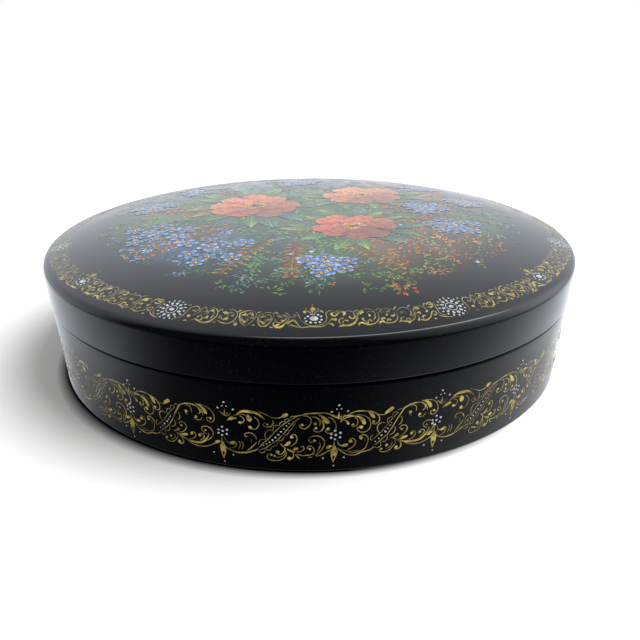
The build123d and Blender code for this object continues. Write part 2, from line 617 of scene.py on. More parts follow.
def brushStrokes(strokes, axes, surface, band, flip=False):
    # low pillow along each curve: side edges just sunk in the lacquer, ridge raised along the middle
    samples = band["samples"]
    line = np.stack([curveThrough(points, samples) for widths, points in strokes])
    along = np.gradient(line, axis=1)
    along /= np.linalg.norm(along, axis=-1, keepdims=True)
    side = np.stack([-along[..., 1], along[..., 0]], -1)
    stations = np.linspace(0, 1, samples)
    half = np.stack([np.interp(stations, np.linspace(0, 1, len(widths)), widths)
                     for widths, points in strokes])
    half *= band["load"] / 2 * (half / brush["evenWidth"]) ** brush["spread"]
    half[:, 0] *= brush["startWidth"]
    half[:, -1] *= brush["endWidth"]
    across = np.array([1.0, 0.0, -1.0])
    uv = line[:, :, None] + side[:, :, None] * (half[:, :, None] * across)[..., None]
    ridge = brush["strokeFilm"] + brush["pile"] * half
    lift = np.stack([0 * ridge - brush["sink"], ridge, 0 * ridge - brush["sink"]], -1)
    axis = np.asarray(axes)[:, None, None, None]
    u, v = unsteady(uv[None, ..., 0], uv[None, ..., 1], axis, band["wander"])
    points = surface(u, v, lift[None], axis)
    count = points.shape[0] * points.shape[1]
    tube = gridFaces(samples, 3, wrapColumns=True)
    last = 3 * (samples - 1)
    caps = np.array([[0, 2, 1], [last, last + 1, last + 2]])
    sets = sideOut([repeatFaces(faces, count, 3 * samples) for faces in (tube, caps)], flip)
    full = np.clip((half - brush["fineHalf"]) / brush["fullMore"], 0, 1)  # 0 in a fine line, 1 in a full one
    full = full[None, :, :, None] + 0 * points[..., 0]
    return points.reshape(-1, 3), sets, full.ravel()


def brushDots(dots, axes, surface, band, flip=False):
    # low round drops: u, v, half length, half width, turn; a cap on two rings, closed underneath
    u0, v0, a, b, turn = (column[:, None] for column in np.array(dots, float).T)
    sides = brush["dotSides"]
    ring = np.arange(sides) * fullTurn / sides
    top = brush["dotFilm"] + brush["pile"] * b
    shoulder, shoulderHeight = brush["dotShoulder"]
    rings = []
    for reach, thick in ((1.0, 0 * b - brush["sink"]), (shoulder, shoulderHeight * top)):
        x = reach * a * np.cos(ring)
        y = reach * b * np.sin(ring)
        rings.append((u0 + x * np.cos(turn) - y * np.sin(turn), v0 + x * np.sin(turn) + y * np.cos(turn),
                      thick + 0 * x))
    rings.append((u0, v0, top))
    rings.append((u0, v0, 0 * b - brush["sink"]))
    u, v, lift = (np.concatenate([r[k] for r in rings], 1) for k in range(3))
    axis = np.asarray(axes)[:, None, None]
    u, v = unsteady(u[None], v[None], axis, band["wander"])
    points = surface(u, v, lift[None], axis)
    j = np.arange(sides)
    nextJ = (j + 1) % sides
    skirt = np.stack([j, nextJ, sides + nextJ, sides + j], -1)
    cap = np.stack([sides + j, sides + nextJ, np.full(sides, 2 * sides)], -1)
    under = np.stack([nextJ, j, np.full(sides, 2 * sides + 1)], -1)
    stride = 2 * sides + 2
    count = points.shape[0] * points.shape[1]
    sets = sideOut([repeatFaces(faces, count, stride) for faces in (skirt, cap, under)], flip)
    return points.reshape(-1, 3), sets, np.ones(count * stride)


def paintedPiece(name, parts, body, material, normalAt, fine=(1, 1, 1), rich=(1, 1, 1)):
    # several point and face sets as one piece; lacquered over, so it shines with the ground's own normals
    points = np.vstack([p for p, sets, full in parts])
    full = np.concatenate([full for p, sets, full in parts])[:, None]
    starts = np.cumsum([0] + [len(p) for p, sets, full in parts])
    faceSets = [faces + start for (p, sets, f), start in zip(parts, starts) for faces in sets]
    return makePiece(name, points, faceSets, body, [material],
                     tint=(1 - full) * np.array(fine) + full * np.array(rich),
                     normals=normalAt(points[:, 0], points[:, 1]))


def balls(*spots):  # round dots from u, v and radius
    return [(u, v, r, r, 0) for u, v, r in spots]


baseBand = {
    "meanRadius": 73 * mm,
    "units": 19,
    "start": math.radians(-90 + 3.78),
    "shifts": {-2: -0.29, -1: 0.12, 0: 0.25, 1: -0.69, 2: -0.18},  # degrees that the hand strayed in front
    "squeeze": 0.985,
    "climb": 0.42 * mm,  # the band dips and climbs twice a turn
    "climbFrom": math.radians(-80),
    "wander": 0.07,
    "samples": 15,
    "load": 0.8,  # how full the brush is, against the drawn widths
    "dotSize": 0.74,
    "fine": (0.74, 0.76, 0.86),  # what fine lines and full strokes make of the gold
    "rich": (1.14, 1.15, 0.95),
}

# What every unit has on its axis: crown, dot cluster, two lobes and a hanging bud

axisStrokes = [
    ((.2, .34, .12), (0.5, 13.9, -0.1, 14.5, -0.8, 15.2)),
    ((.2, .34, .12), (0.5, 13.9, 0.2, 14.4, -0.15, 15.0)),
    ((.25, .5, .15), (0.55, 13.9, 0.5, 14.8, 0.6, 15.8)),
    ((.2, .34, .12), (0.7, 13.9, 1.0, 14.5, 1.3, 15.1)),
    ((.2, .34, .12), (0.8, 13.8, 1.4, 14.3, 1.95, 15.0)),
    ((.2, .32, .35), (-0.5, 8.3, -0.57, 7.35, -0.95, 6.76)),
    ((.2, .32, .35), (0.1, 8.3, 0.4, 7.35, 0.9, 6.84)),
    ((.3, .8, .9, .5), (-0.9, 7.0, -1.4, 6.9, -1.9, 6.6, -2.25, 6.4)),
    ((.3, .75, .9, .45), (0.9, 6.95, 1.4, 6.85, 1.9, 6.95, 2.45, 7.15)),
    ((.25, .9, 1.45, 1.3, .5), (-0.4, 7.1, -0.45, 6.2, -0.5, 5.4, -0.55, 4.7, -0.6, 4.2)),
    ((.5, .4, .25), (-1.0, 5.0, -1.0, 4.2, -0.85, 3.4, -0.66, 2.5)),
    ((.5, .4, .25), (0.05, 5.0, -0.1, 4.2, -0.35, 3.4, -0.6, 2.5)),
    ((.3, .5, .3), (-0.62, 3.4, -0.64, 2.95, -0.64, 2.4)),
]
axisDots = balls(
    (0.5, 17.45, .36), (0.05, 16.5, .22), (1.0, 16.5, .22), (-1.0, 15.9, .32), (2.4, 15.8, .32),
    (-0.2, 9.85, .40), (-0.3, 10.95, .37), (0.8, 10.3, .38), (0.7, 9.15, .38), (-0.4, 8.7, .38),
    (-1.2, 9.2, .36), (-1.15, 10.1, .36), (-2.85, 3.8, .28), (1.7, 3.65, .28), (-0.5, 1.6, .28))

# First hand of the wall: long feather rising to the right

firstStrokes = [
    ((.15, .95, .5), (0.85, 12.7, 1.6, 13.3, 2.4, 13.6, 3.1, 13.6)),
    ((.2, .6, .8, .6, .35), (2.2, 14.1, 3.0, 14.5, 4.05, 15.4, 5.1, 15.65, 6.2, 15.6, 7.2, 15.5, 8.0, 15.1,
     8.7, 14.5, 9.2, 13.85)),
    ((.25, .3, .2), (3.1, 14.4, 3.5, 14.6, 4.2, 14.8, 4.9, 14.65, 5.3, 14.3)),
    ((.3, 1.0, 1.2, .7), (5.4, 14.8, 5.7, 14.3, 5.85, 13.8, 5.85, 13.1)),
    ((.25, .3, .3, .5), (7.8, 15.85, 8.65, 15.64, 9.4, 15.25, 10.0, 15.0, 10.55, 14.6, 11.4, 14.5, 12.25,
     14.55, 12.8, 14.85)),
    ((.4, .85, .95, .6), (12.7, 14.8, 13.2, 15.1, 13.7, 15.35, 14.1, 15.5)),
    ((.3, .35, .4), (3.7, 14.4, 4.4, 14.0, 4.7, 13.4, 4.5, 12.8, 4.05, 12.45)),
    ((.3, .35, .4), (6.8, 14.5, 7.4, 14.0, 7.9, 13.2, 7.85, 12.3, 7.45, 11.5, 6.86, 11.2, 6.2, 11.25)),
    ((.3, .35, .3), (10.85, 14.0, 11.0, 13.2, 10.6, 12.45, 10.0, 12.1, 9.36, 12.07, 8.8, 12.5, 8.95, 12.95,
     9.4, 13.1)),
    ((.2, .4, .55, .4), (-0.2, 7.1, 0.0, 6.0, 0.57, 5.3, 1.4, 4.8, 2.3, 4.5, 3.1, 4.45, 4.2, 4.6, 5.0, 4.75,
     5.9, 5.15, 7.0, 5.7, 7.6, 6.0)),
    ((.3, .35, .3), (1.0, 5.5, 1.76, 5.5, 2.44, 6.1, 2.7, 6.75, 2.44, 7.35, 1.93, 7.4)),
    ((.2, .25, .2), (3.1, 5.5, 3.5, 6.4, 3.55, 7.2, 3.1, 7.5)),
    ((.2, .25, .2), (3.8, 5.4, 4.14, 6.3, 4.2, 7.1, 3.8, 7.6)),
    ((.25, .45, .25), (4.9, 5.2, 5.6, 5.8, 6.35, 6.6, 6.95, 7.35, 7.25, 7.9)),
    ((.3, .35, .3), (7.33, 8.5, 7.1, 9.3, 6.44, 10.0, 5.6, 10.15, 4.9, 9.8, 4.7, 9.3, 4.9, 8.9, 5.4, 9.15)),
    ((.15, .2, .15), (5.93, 8.8, 6.2, 8.2, 6.1, 7.4)),
    ((.3, .35, .35), (7.5, 6.4, 8.0, 6.75, 8.77, 7.8, 9.7, 8.7, 10.47, 9.8, 11.15, 10.75, 11.8, 11.5, 12.5,
     12.3, 13.27, 13.05, 14.1, 13.65, 14.7, 14.15, 15.5, 14.65, 16.2, 15.0)),
    ((.3, .35, .3), (7.6, 5.7, 9.1, 6.4, 9.96, 7.2, 10.8, 7.85, 11.66, 8.55, 12.25, 9.3, 12.85, 10.0, 13.44,
     10.9, 14.1, 11.85, 14.7, 12.7, 15.3, 13.45, 16.1, 14.15, 16.6, 14.5)),
    ((.2, .3, .2), (7.63, 7.0, 7.75, 7.85, 8.2, 8.55, 8.9, 8.75, 9.33, 8.8)),
    ((.2, .3, .2), (9.4, 8.9, 9.15, 9.7, 9.3, 10.6, 9.87, 11.2, 10.47, 11.3, 11.06, 11.0)),
    ((.2, .3, .2), (10.98, 11.2, 10.93, 11.95, 11.3, 12.55, 12.08, 12.6, 12.4, 12.45)),
    ((.2, .3, .2), (12.3, 12.55, 12.34, 13.1, 12.76, 13.55, 13.44, 13.7)),
    ((.2, .25, .2), (13.36, 13.55, 13.53, 14.15, 14.1, 14.3, 14.3, 14.0)),
    ((.2, .25, .2), (14.42, 14.4, 14.8, 14.9, 15.3, 14.95, 15.57, 14.75)),
    ((.2, .3, .2), (7.5, 5.4, 8.14, 5.05, 8.65, 5.2, 9.07, 5.9)),
    ((.2, .3, .2), (9.1, 6.05, 9.8, 5.9, 10.3, 6.25, 10.55, 6.9)),
    ((.2, .3, .2), (10.6, 6.9, 11.3, 7.2, 11.74, 7.7, 11.83, 8.4)),
    ((.2, .3, .2), (12.0, 8.4, 12.68, 8.7, 13.1, 9.2, 13.27, 9.8)),
    ((.2, .3, .2), (13.27, 10.05, 13.95, 10.3, 14.25, 10.85, 14.3, 11.2)),
    ((.2, .25, .2), (14.3, 11.25, 14.8, 11.6, 15.06, 12.2)),
    ((.2, .25, .2), (15.06, 12.3, 15.4, 12.7, 15.65, 13.2)),
    ((.25, .45, .4, .3), (14.85, 14.85, 15.96, 15.05, 17.0, 15.25, 17.8, 15.5, 19.1, 15.65, 20.1, 15.65,
     21.2, 15.7, 22.2, 15.6, 23.0, 15.2, 23.7, 14.65, 24.3, 14.25)),
    ((.3, .7, 1.1, .8), (20.4, 15.35, 21.06, 14.85, 21.65, 14.15, 22.16, 13.55, 22.67, 13.05)),
    ((.3, .35, .3), (17.2, 15.0, 18.0, 15.0, 18.7, 14.5, 18.93, 13.7, 18.76, 12.9, 18.25, 12.1, 17.57,
     11.65, 16.9, 11.85, 16.47, 12.45, 16.64, 12.9)),
    ((.3, .4, .35), (18.93, 14.9, 19.6, 14.65, 20.4, 14.25, 21.14, 13.55, 21.57, 12.7, 21.48, 11.75, 20.97,
     11.0, 20.3, 10.8, 19.6, 11.1, 19.36, 11.65)),
    ((.2, .35, .25), (20.2, 14.25, 20.7, 13.55, 20.8, 12.9, 20.6, 12.4)),
    ((.3, .4, .35), (22.4, 14.65, 23.2, 14.25, 23.8, 13.45, 24.16, 12.45, 24.1, 11.45, 23.6, 10.65, 22.76,
     10.35, 22.08, 10.75, 21.95, 11.35)),
    ((.3, .4, .3), (12.34, 7.85, 12.85, 7.25, 13.2, 6.75)),
    ((.35, .9, .5), (13.1, 7.3, 13.7, 7.5, 14.2, 8.0, 14.5, 8.5)),
    ((.4, .35, .4), (13.36, 6.85, 13.2, 5.9, 12.76, 5.2, 12.17, 4.9, 11.66, 5.05)),
    ((.3, .35, .3), (14.46, 7.1, 15.2, 7.5, 15.8, 8.3, 16.0, 9.2, 15.7, 10.05, 15.14, 10.3, 14.68, 9.9)),
    ((.2, .3, .2), (13.44, 6.25, 13.27, 5.15, 12.68, 4.45, 11.9, 4.1, 11.15, 4.2)),
    ((.3, .35, .25), (13.65, 5.75, 13.53, 4.7, 12.93, 3.85, 12.08, 3.3, 10.98, 3.15, 9.87, 3.25, 9.3, 3.85,
     9.45, 4.65, 9.96, 5.05)),
    ((.4, .65, .5), (13.8, 6.4, 14.46, 5.9, 15.06, 5.65, 15.5, 5.55)),
    ((.4, .85, .6), (15.06, 6.15, 15.57, 6.35, 16.2, 6.6)),
    ((.3, .4, .45), (15.06, 5.4, 15.1, 4.55, 14.8, 3.95, 14.3, 3.65)),
    ((.2, .4, .25), (15.4, 4.95, 16.0, 4.2, 16.4, 3.6)),
    ((.3, .4, .3), (15.8, 5.55, 16.67, 5.65, 17.27, 6.05, 17.44, 6.65, 17.1, 7.1, 16.76, 6.85)),
    ((.3, .4, .3), (15.65, 5.05, 16.4, 4.7, 17.35, 4.55, 18.2, 4.65, 19.05, 4.8, 19.65, 5.05)),
    ((.2, .35, .2), (18.1, 4.1, 18.6, 4.05, 19.2, 4.15)),
    ((.25, .3, .25), (18.97, 4.95, 19.56, 5.55, 19.56, 6.25, 19.14, 6.95, 18.63, 7.2, 18.16, 6.75, 18.1,
     6.25)),
    ((.3, .45, .35), (19.7, 4.45, 20.7, 4.55, 21.65, 5.05, 22.5, 5.65, 23.2, 6.1)),
    ((.35, .4, .3), (19.8, 4.7, 20.63, 5.3, 21.3, 6.25, 21.74, 7.25, 21.87, 8.2, 21.57, 8.9, 20.97, 9.55,
     20.1, 9.8, 19.1, 9.6, 18.5, 9.15, 18.5, 8.45, 19.0, 8.0, 19.44, 8.05)),
    ((.2, .3, .2), (20.1, 5.2, 20.55, 6.15, 20.9, 7.2, 20.76, 8.2)),
]
firstBalls = balls(
    (3.8, 12.6, .38), (6.0, 11.6, .45), (9.68, 12.75, .26), (1.85, 6.9, .36), (17.05, 12.7, .34),
    (19.95, 11.8, .34), (19.8, 12.95, .35), (22.55, 11.55, .42), (11.7, 5.5, .45), (14.85, 9.55, .38),
    (10.98, 4.45, .27), (10.3, 4.7, .28), (14.15, 3.85, .46), (18.63, 6.3, .3), (19.7, 8.5, .35))
firstDots = balls(
    (8.77, 7.1, .18), (9.4, 7.55, .23), (10.1, 8.05, .27), (10.76, 8.7, .3), (11.4, 9.4, .31),
    (12.0, 10.15, .31), (12.6, 10.95, .28), (13.2, 11.7, .25), (13.8, 12.5, .22), (14.3, 13.1, .17))

# Second hand of the wall: fat acanthus strokes at the upper left, a bud over the feather

secondStrokes = [
    ((.25, .4, .45), (0.8, 13.0, 1.3, 13.7, 2.1, 14.15, 3.0, 14.4, 3.9, 14.45)),
    ((.2, .6, .2), (1.3, 14.5, 2.2, 14.65, 3.2, 14.65, 3.8, 14.5)),
    ((.3, .7, .95, .8), (3.9, 14.4, 4.8, 14.1, 5.4, 13.5, 5.75, 12.8, 5.95, 12.05)),
    ((.2, .5, .65), (1.5, 13.6, 2.0, 13.4, 2.35, 12.9, 2.55, 12.3)),
    ((.3, .35, .3), (3.8, 14.1, 4.3, 13.7, 4.55, 13.0, 4.4, 12.2, 4.0, 11.8, 3.5, 11.75, 3.2, 12.1, 3.4,
     12.45)),
    ((.2, .3, .35, .4), (4.0, 14.7, 5.2, 14.6, 6.2, 14.2, 6.9, 13.5, 7.2, 12.8, 7.3, 12.0, 7.2, 11.2, 6.8,
     10.5, 6.2, 10.1, 5.5, 10.0, 4.8, 10.3, 4.4, 10.8, 4.5, 11.4, 4.9, 11.75)),
    ((.3, .45, .45, .35, .3), (2.4, 14.9, 3.0, 15.2, 3.9, 15.55, 5.0, 15.65, 6.2, 15.5, 7.2, 15.3, 8.1,
     14.9, 8.8, 14.4, 9.2, 13.6, 9.25, 12.9, 9.0, 12.2, 8.4, 11.9, 7.8, 12.0, 7.4, 12.4, 7.6, 12.85)),
    ((.3, .8, .9, .6), (6.7, 15.3, 7.2, 14.9, 7.6, 14.3, 8.1, 13.5)),
    ((.3, .3, .3), (8.8, 14.25, 9.6, 14.15, 10.3, 14.0)),
    ((.3, .8, .95, .8), (10.3, 14.1, 10.9, 14.7, 11.6, 15.2, 12.2, 15.7)),
    ((.3, .35, .3), (2.2, 5.6, 3.0, 6.0, 3.7, 6.5, 4.05, 7.3, 4.0, 8.0, 3.6, 8.5, 3.1, 8.6, 2.7, 8.3)),
    ((.3, .4, .35), (0.2, 6.4, 0.8, 5.6, 1.6, 4.9, 2.4, 4.3, 3.3, 4.1, 4.2, 4.1, 5.0, 4.4)),
    ((.15, .2, .15), (0.5, 6.0, 1.4, 5.6, 2.6, 5.2, 3.8, 5.2, 4.9, 5.4)),
    ((.5, .45, .35), (4.2, 4.2, 4.9, 4.4, 5.6, 4.8, 6.6, 4.9, 7.6, 5.3, 8.1, 5.9)),
    ((.25, .3, .4), (2.4, 4.75, 3.6, 4.7, 4.8, 4.95, 5.8, 5.3, 6.4, 6.0, 6.6, 6.8, 6.8, 7.6, 6.8, 8.4, 6.5,
     9.0, 5.9, 9.4, 5.3, 9.3, 4.85, 8.9, 4.9, 8.3)),
    ((.15, .2, .15), (6.15, 7.4, 6.1, 8.0, 6.1, 8.5)),
    ((.3, .35, .4), (8.1, 6.2, 9.0, 6.8, 9.9, 7.7, 10.8, 8.5, 11.5, 9.5, 12.2, 10.6, 12.8, 11.7, 13.3, 12.7,
     14.0, 13.8, 14.5, 14.7)),
    ((.2, .25, .25), (7.4, 7.5, 8.2, 8.2, 9.0, 9.0, 9.7, 9.6, 10.4, 10.6, 11.1, 11.5, 11.8, 12.4, 12.6,
     13.3, 13.4, 14.1)),
    ((.2, .3, .2), (7.8, 7.5, 7.35, 7.9, 7.4, 8.6, 7.8, 9.1)),
    ((.25, .35, .25), (9.3, 9.3, 8.9, 10.0, 8.75, 10.8, 9.0, 11.6, 9.6, 12.0, 10.3, 11.95, 10.7, 11.8)),
    ((.2, .3, .2), (11.2, 11.6, 10.95, 12.2, 11.1, 12.9, 11.7, 13.2, 12.2, 13.0)),
    ((.2, .25, .2), (12.1, 13.4, 12.2, 14.0, 12.8, 14.3, 13.4, 14.0)),
    ((.2, .25, .2), (13.3, 14.6, 13.8, 15.0, 14.2, 14.6)),
    ((.2, .3, .2), (8.2, 5.9, 8.9, 5.5, 9.6, 5.7, 9.7, 6.4, 9.6, 6.9)),
    ((.2, .3, .2), (9.9, 7.0, 10.5, 6.9, 11.0, 7.4, 11.1, 8.0, 10.9, 8.6)),
    ((.2, .35, .25), (11.4, 8.4, 12.2, 8.7, 12.75, 9.3, 12.8, 10.0, 12.6, 10.5)),
    ((.2, .35, .25), (13.5, 10.7, 14.1, 11.2, 14.3, 12.0, 14.1, 12.9)),
    ((.35, .5, .45, .3), (13.4, 12.6, 13.9, 13.6, 14.3, 14.3, 14.6, 14.9, 15.2, 15.2, 16.2, 15.6, 17.2,
     15.7, 18.2, 15.6, 19.0, 15.3, 19.7, 14.7, 20.1, 13.9, 20.2, 13.1)),
    ((.3, .6, .95, .8), (18.5, 15.9, 19.4, 15.8, 20.0, 15.4, 20.6, 14.7, 21.0, 13.7)),
    ((.3, .3, .35), (19.0, 16.0, 20.2, 15.9, 21.3, 15.6, 22.1, 15.0, 22.6, 14.2, 22.8, 13.3, 22.7, 12.5,
     22.4, 12.0, 21.9, 11.75, 21.3, 11.8, 20.9, 12.3, 21.1, 12.9, 21.7, 12.9)),
    ((.3, .35, .25), (16.2, 15.2, 16.9, 15.2, 17.4, 14.7, 17.5, 14.0, 17.45, 13.4)),
    ((.2, .25, .2), (15.9, 13.4, 16.0, 13.0, 16.4, 12.6)),
    ((.3, .4, .3), (19.2, 14.9, 19.6, 14.3, 19.5, 13.7, 19.0, 13.4)),
    ((.25, .35, .35), (19.8, 12.6, 19.5, 12.0, 19.0, 11.75, 18.5, 11.8, 18.1, 12.2, 18.3, 12.6)),
    ((.3, .6, .7), (12.4, 7.6, 13.0, 7.9, 13.7, 8.4)),
    ((.2, .4, .4), (11.8, 7.6, 12.4, 7.5, 12.9, 7.1, 13.3, 6.7)),
    ((.35, .5, .7, .6, .3), (12.7, 7.3, 13.6, 6.7, 14.6, 6.2, 16.0, 5.7, 17.4, 5.5, 18.6, 5.6, 19.6, 6.1,
     20.3, 6.9, 20.8, 7.8, 20.95, 8.7)),
    ((.3, .6, .85, .6), (13.0, 7.0, 14.0, 6.9, 15.0, 7.1, 15.8, 7.3)),
    ((.3, .35, .3), (13.4, 7.4, 14.4, 7.7, 15.2, 8.4, 15.6, 9.2, 15.4, 10.0, 14.9, 10.4, 14.3, 10.4, 13.8,
     10.0, 14.0, 9.5)),
    ((.3, .35, .3), (15.9, 6.2, 16.8, 6.3, 17.4, 6.8, 17.7, 7.5, 17.5, 8.1, 17.0, 8.3, 16.6, 8.0)),
    ((.3, .35, .3), (18.6, 6.2, 19.3, 6.7, 19.8, 7.3, 19.7, 7.9, 19.2, 8.25, 18.7, 8.1)),
    ((.35, .4, .3), (20.5, 6.6, 21.4, 7.4, 22.0, 8.4, 22.0, 9.3, 21.5, 10.1, 20.8, 10.4, 20.0, 10.3, 19.4,
     9.8, 19.4, 9.2, 19.9, 8.7, 20.5, 8.3)),
    ((.3, .4, .35), (14.8, 6.0, 16.0, 5.2, 17.2, 4.75, 18.4, 4.6, 19.6, 4.75, 20.8, 5.2, 22.0, 6.0, 23.1,
     6.8)),
    ((.4, .4, .45), (13.2, 6.8, 14.0, 6.2, 14.4, 5.5, 14.4, 4.8, 14.0, 4.3, 13.4, 4.25, 13.0, 4.6)),
    ((.25, .35, .3), (12.9, 6.9, 13.0, 6.0, 12.6, 5.3, 12.0, 4.6, 11.2, 4.1, 10.3, 4.1, 9.6, 4.5, 9.6,
     5.0)),
    ((.2, .25, .2), (12.3, 6.5, 12.2, 5.6, 11.6, 5.0, 10.9, 4.7)),
]
secondBalls = balls(
    (3.55, 12.3, .25), (5.25, 11.4, .45), (7.95, 12.6, .3), (2.95, 7.9, .44), (5.25, 8.5, .38),
    (21.85, 12.75, .35), (16.15, 13.55, .38), (18.4, 12.5, .34), (14.3, 9.4, .3), (16.75, 7.75, .37),
    (18.7, 7.65, .39), (20.25, 9.3, .24), (13.35, 4.8, .4), (9.95, 5.0, .3), (11.1, 5.8, .36))
secondDots = balls(
    (8.45, 7.25, .2), (9.15, 7.95, .26), (9.75, 8.7, .3), (10.6, 9.55, .34), (11.1, 10.3, .26),
    (11.6, 11.05, .23), (11.9, 11.6, .16))


def shrunk(dots, size):
    return [(u, v, a * size, b * size, turn) for u, v, a, b, turn in dots]


unitNumbers = np.arange(baseBand["units"]) - baseBand["units"] // 2
strayed = np.radians([baseBand["shifts"].get(k, 0.0) for k in unitNumbers])
unitAxes = baseBand["start"] + unitNumbers * fullTurn / baseBand["units"] + strayed
firstAxes = unitAxes[unitNumbers % 2 == 1]
secondAxes = unitAxes[unitNumbers % 2 == 0]
wallHands = [(axisStrokes, [], axisDots, unitAxes), (firstStrokes, firstBalls, firstDots, firstAxes),
             (secondStrokes, secondBalls, secondDots, secondAxes)]
goldParts = [brushStrokes(strokes, axes, onWall, baseBand) for strokes, drops, dots, axes in wallHands]
goldParts += [brushDots(drops, axes, onWall, baseBand) for strokes, drops, dots, axes in wallHands if drops]
whiteParts = [brushDots(shrunk(dots, baseBand["dotSize"]), axes, onWall, baseBand)
              for strokes, drops, dots, axes in wallHands]
goldWall = paintedPiece("goldBandBase", goldParts, "base", wallGold, wallNormal,
                        baseBand["fine"], baseBand["rich"])
paintedPiece("whiteDotsBase", whiteParts, "base", wallWhite, wallNormal)
print("base band painted:", len(goldWall.data.polygons), "gold faces")

# Band round the lid: a crowned oval at each second place, a ringed rosette between, scrolls in the gaps

lidBand = {
    "meanRadius": 69.7 * mm,
    "pairs": 7,
    "start": math.radians(-90 + 0.207),
    "inset": 0.18 * mm,
    "oval": 1.2 * mm,
    "gap": 31.28,  # millimetres of rim between an oval and the next rosette
    "drawnGap": 30.75,
    "loops": (-22.2, -17.8, -13.5, -9.7, -6.3),  # middles of the loops left of an oval
    "runIn": [(-29.7, 72.8), (-28.8, 72.3), (-28.0, 71.6)],  # from the rosette to the first of them
    "readingSteps": 60,  # the last of them no longer move a point
    "wander": 0.05,
    "samples": 13,
    "load": 1.04,
    "fine": (0.66, 0.70, 0.92),
    "rich": (1.08, 1.11, 0.86),
}
rosette = {
    "middle": (0.62, 0.5),  # half length and half width of the dots, millimetres
    "ring": 1.25,  # radius of the drawn ring, its width and how many points draw it
    "ringWidth": 0.26,
    "ringSamples": 25,
    "petals": (11, 0.2, 2.05, 0.45, 0.34),  # how many, first turn, radius, half length, half width
    "beads": (16, 0.0, 2.95, 0.32, 0.2),
}
crownStrokes = [
    ((.25, .9, 1.0, .4, .2, .2), (0.03, 65.6, 0.05, 66.1, 0.05, 66.6, 0.02, 67.2, 0.0, 67.8, 0.0, 68.6)),
    ((.25, .3, .3), (-0.2, 68.5, -0.45, 67.8, -0.8, 67.3, -1.25, 67.05)),
    ((.3, .75, .3), (-1.45, 66.9, -1.7, 67.35, -1.72, 67.95)),
    ((.25, .3, .35), (0.3, 68.5, 0.6, 67.7, 1.0, 67.2, 1.6, 67.0)),
    ((.3, .6, .3), (1.6, 66.95, 2.05, 67.2, 2.3, 67.75)),
    ((.3, .28, .28, .3), (-4.3, 67.2, -3.6, 67.4, -3.1, 68.0, -2.8, 69.0, -2.5, 69.9, -2.0, 70.7, -1.2,
     71.3, -0.3, 71.8, 0.6, 71.9, 1.5, 71.6, 2.4, 71.0, 3.0, 70.2, 3.05, 69.2, 2.9, 68.2, 3.0, 67.5, 3.5,
     67.0, 4.3, 66.95, 5.0, 67.2)),
    ((.5, .3, .5, .3), (-4.9, 71.9, -4.3, 71.6, -3.6, 71.9, -2.8, 72.2, -1.8, 72.3, -0.8, 72.1, 0.2, 72.0,
     1.2, 72.1, 2.0, 72.0, 2.6, 71.6, 3.2, 71.1)),
]
crownDots = [(0.35, 69.55, .95, .73, 0)] + balls(
    (-0.95, 68.85, .29), (-1.55, 69.5, .25), (-1.25, 70.4, .28), (-0.35, 70.8, .31), (0.65, 70.9, .30),
    (1.55, 70.65, .28), (1.9, 69.95, .28), (1.85, 68.9, .28), (1.2, 68.35, .29), (0.4, 68.3, .2),
    (-0.25, 68.3, .2))
crownSpecks = [(0, 64.95, .17, .25, 0), (-1.4, 66.25, .18, .18, 0), (1.2, 66.4, .15, .24, 0)]
